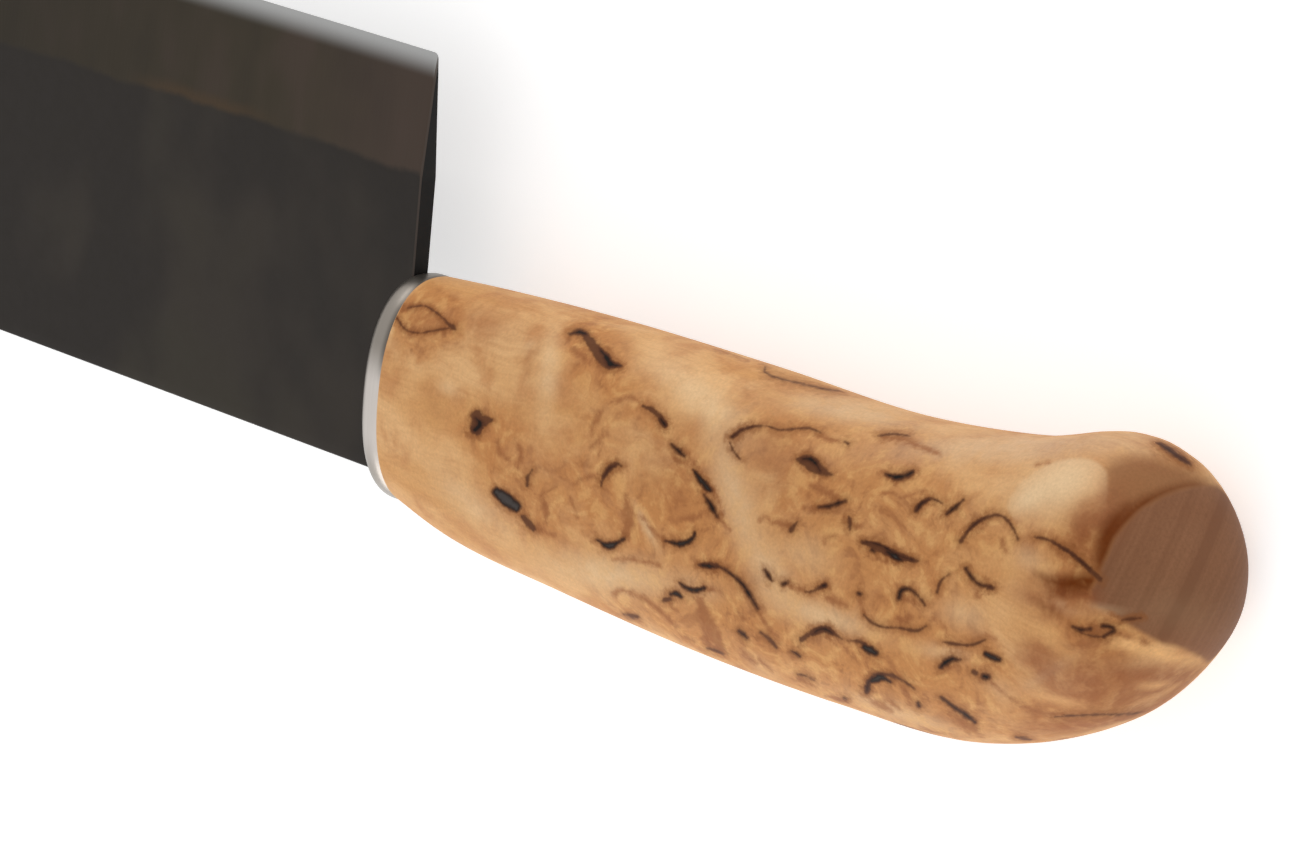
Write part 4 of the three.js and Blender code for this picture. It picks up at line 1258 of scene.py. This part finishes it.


# Forged carbon steel: the flats keep matt dark scale with cloudy patches, the bevel is ground and has gone
# brownish, and the honed edge is bright; the heel's end face has painted shade and its chamfer a painted
# highlight
def forgedSteel():
    colours = dict(
        scale="#2e2822", scaleDark="#221d19", scaleOlive="#2f2a22",
        bevel="#3b342a", bevelDark="#302b24", bevelPlum="#463a34", shoulder="#493929",
        # the last two colours are painted: shade on the heel's end face and a highlight on its chamfer
        edge="#a0a09f", heel="#070605", chamferHighlight="#4a423d",
    )
    c = {name: linear(value) for name, value in colours.items()}
    material, tree = newMaterial("forgedCarbonSteel")
    place = addNode(tree, "TexCoord").outputs["Object"]
    grind = addNode(tree, "Attribute", {"attribute_name": "grindDepth"}).outputs["Fac"]
    above = addNode(tree, "Attribute", {"attribute_name": "aboveEdge"}).outputs["Fac"]
    # scale: soft clouds drawn out from the spine to the edge, and an olive bloom
    cloudPlace = addNode(tree, "Mapping", Vector=place, Scale=(1000 / 14, 1000 / 20, 1000 / 20))
    cloud = addNode(tree, "TexNoise", Vector=cloudPlace, Scale=1, Detail=2.5, Roughness=0.5)
    bloom = addNode(tree, "TexNoise", Vector=place, Scale=1000 / 26, Detail=2)
    speck = addNode(tree, "TexNoise", Vector=place, Scale=1000 / 1.6, Detail=4, Roughness=0.65)
    along = addNode(tree, "SeparateXYZ", i0=place).outputs["X"]
    # it is thicker towards the point, along the bevel's shoulder and at the heel
    thicker = (
        (along, home.x + 35 * mm, home.x + 75 * mm, 0.45),
        (along, home.x + 16 * mm, home.x + 4 * mm, 0.12),
        (grind, -14, -1, 0.14),
    )
    for measure, start, full, most in thicker:
        more = addNode(tree, "MapRange", Value=measure, From_Min=start, From_Max=full, To_Max=most)
        cloud = addNode(tree, "Math", minus, i0=cloud, i1=more)
    cloudStep = addNode(tree, "MapRange", smooth, Value=cloud, From_Min=0.26, From_Max=0.56)
    bloomStep = addNode(tree, "MapRange", smooth, Value=bloom, From_Min=0.45, From_Max=0.65)
    scale = addNode(tree, "Mix", rgba, i0=bloomStep, i6=c["scale"], i7=c["scaleOlive"])
    scale = addNode(tree, "Mix", rgba, i0=cloudStep, i6=c["scaleDark"], i7=scale)
    # grinding marks and faint stains run from the spine to the edge
    scratchPlace = addNode(tree, "Mapping", Vector=place, Scale=(1000 / 0.35, 1000 / 9, 1000 / 9))
    scratch = addNode(tree, "TexNoise", Vector=scratchPlace, Scale=1, Detail=3)
    stainPlace = addNode(tree, "Mapping", Vector=place, Scale=(1000 / 7, 1000 / 14, 1000 / 14))
    stain = addNode(tree, "TexNoise", Vector=stainPlace, Scale=1, Detail=2)
    stainStep = addNode(tree, "MapRange", smooth, Value=stain, From_Min=0.2, From_Max=0.55)
    bevel = addNode(tree, "Mix", rgba, i0=stainStep, i6=c["bevelDark"], i7=c["bevel"])
    plum = addNode(tree, "MapRange", smooth, Value=stain, From_Min=0.5, From_Max=0.7, To_Max=0.45)
    bevel = addNode(tree, "Mix", rgba, i0=plum, i6=bevel, i7=c["bevelPlum"])
    # darker towards the point and plum by the heel: mm from the ferrule to the start and to the full shade
    shades = (("bevelDark", 20, 75, 0.75), ("bevelPlum", 24, 4, 0.7))
    for shade, start, full, most in shades:
        share = addNode(tree, "MapRange", Value=along, From_Min=home.x + start * mm,
                        From_Max=home.x + full * mm, To_Max=most)
        bevel = addNode(tree, "Mix", rgba, i0=share, i6=bevel, i7=c[shade])
    ragged = addNode(tree, "MapRange", Value=speck, To_Min=-0.4, To_Max=0.4)
    ragged = addNode(tree, "Math", plus, i0=grind, i1=ragged)
    ground = addNode(tree, "MapRange", smooth, Value=ragged, From_Min=-0.45, From_Max=0.5)
    # rust in places just below the shoulder
    rust = addNode(tree, "MapRange", smooth, Value=ragged, From_Min=1.9, From_Max=0.3)
    rustMiddle = home.x + 36 * mm
    aside = addNode(tree, "Math", minus, i0=along, i1=rustMiddle)
    aside = addNode(tree, "Math", absolute, i0=aside)
    rustPlace = addNode(tree, "MapRange", smooth, Value=aside, From_Min=14 * mm, From_Max=4 * mm,
                        To_Max=0.6)
    rust = addNode(tree, "Math", times, i0=rust, i1=rustPlace)
    bevel = addNode(tree, "Mix", rgba, i0=rust, i6=bevel, i7=c["shoulder"])
    colour = addNode(tree, "Mix", rgba, i0=ground, i6=scale, i7=bevel)
    # the hone brightens evenly to the edge
    honed = addNode(tree, "MapRange", smooth, Value=above, From_Min=3.0, From_Max=0.2)
    colour = addNode(tree, "Mix", rgba, i0=honed, i6=colour, i7=c["edge"])
    # painted shade: the heel's end face is near-black and not metallic, darker than the scale; its chamfer
    # gets a painted highlight
    facing = addNode(tree, "NewGeometry")
    facing = addNode(tree, "SeparateXYZ", i0=facing.outputs["True Normal"]).outputs["X"]
    rim = addNode(tree, "MapRange", Value=facing, From_Min=-0.2, From_Max=-0.4, To_Max=0.8)
    heel = addNode(tree, "MapRange", Value=facing, From_Min=-0.85, From_Max=-0.95)
    colour = addNode(tree, "Mix", rgba, i0=rim, i6=colour, i7=c["chamferHighlight"])
    colour = addNode(tree, "Mix", rgba, i0=heel, i6=colour, i7=c["heel"])
    metal = addNode(tree, "MapRange", Value=ground, To_Max=0.7)
    metal = addNode(tree, "Math", {"operation": "MAXIMUM"}, i0=metal, i1=honed)
    bare = addNode(tree, "MapRange", Value=heel, To_Min=1.0, To_Max=0.0)
    metal = addNode(tree, "Math", times, i0=metal, i1=bare)
    gloss = addNode(tree, "MapRange", Value=speck, To_Min=0.42, To_Max=0.62)
    bevelGloss = addNode(tree, "MapRange", Value=scratch, To_Min=0.34, To_Max=0.46)
    gloss = addNode(tree, "Mix", i0=ground, i2=gloss, i3=bevelGloss)
    height = addNode(tree, "Mix", i0=ground, i2=speck, i3=scratch)
    relief = addNode(tree, "Bump", Height=height, Strength=0.25, Distance=0.04 * mm)
    shader = addNode(tree, "BsdfPrincipled", Base_Color=colour, Metallic=metal, Roughness=gloss,
                     Specular_IOR_Level=0.17, Normal=relief)
    addNode(tree, "OutputMaterial", Surface=shader)
    return material


finishPiece(blade, "forgedBlade", "blade", forgedSteel())
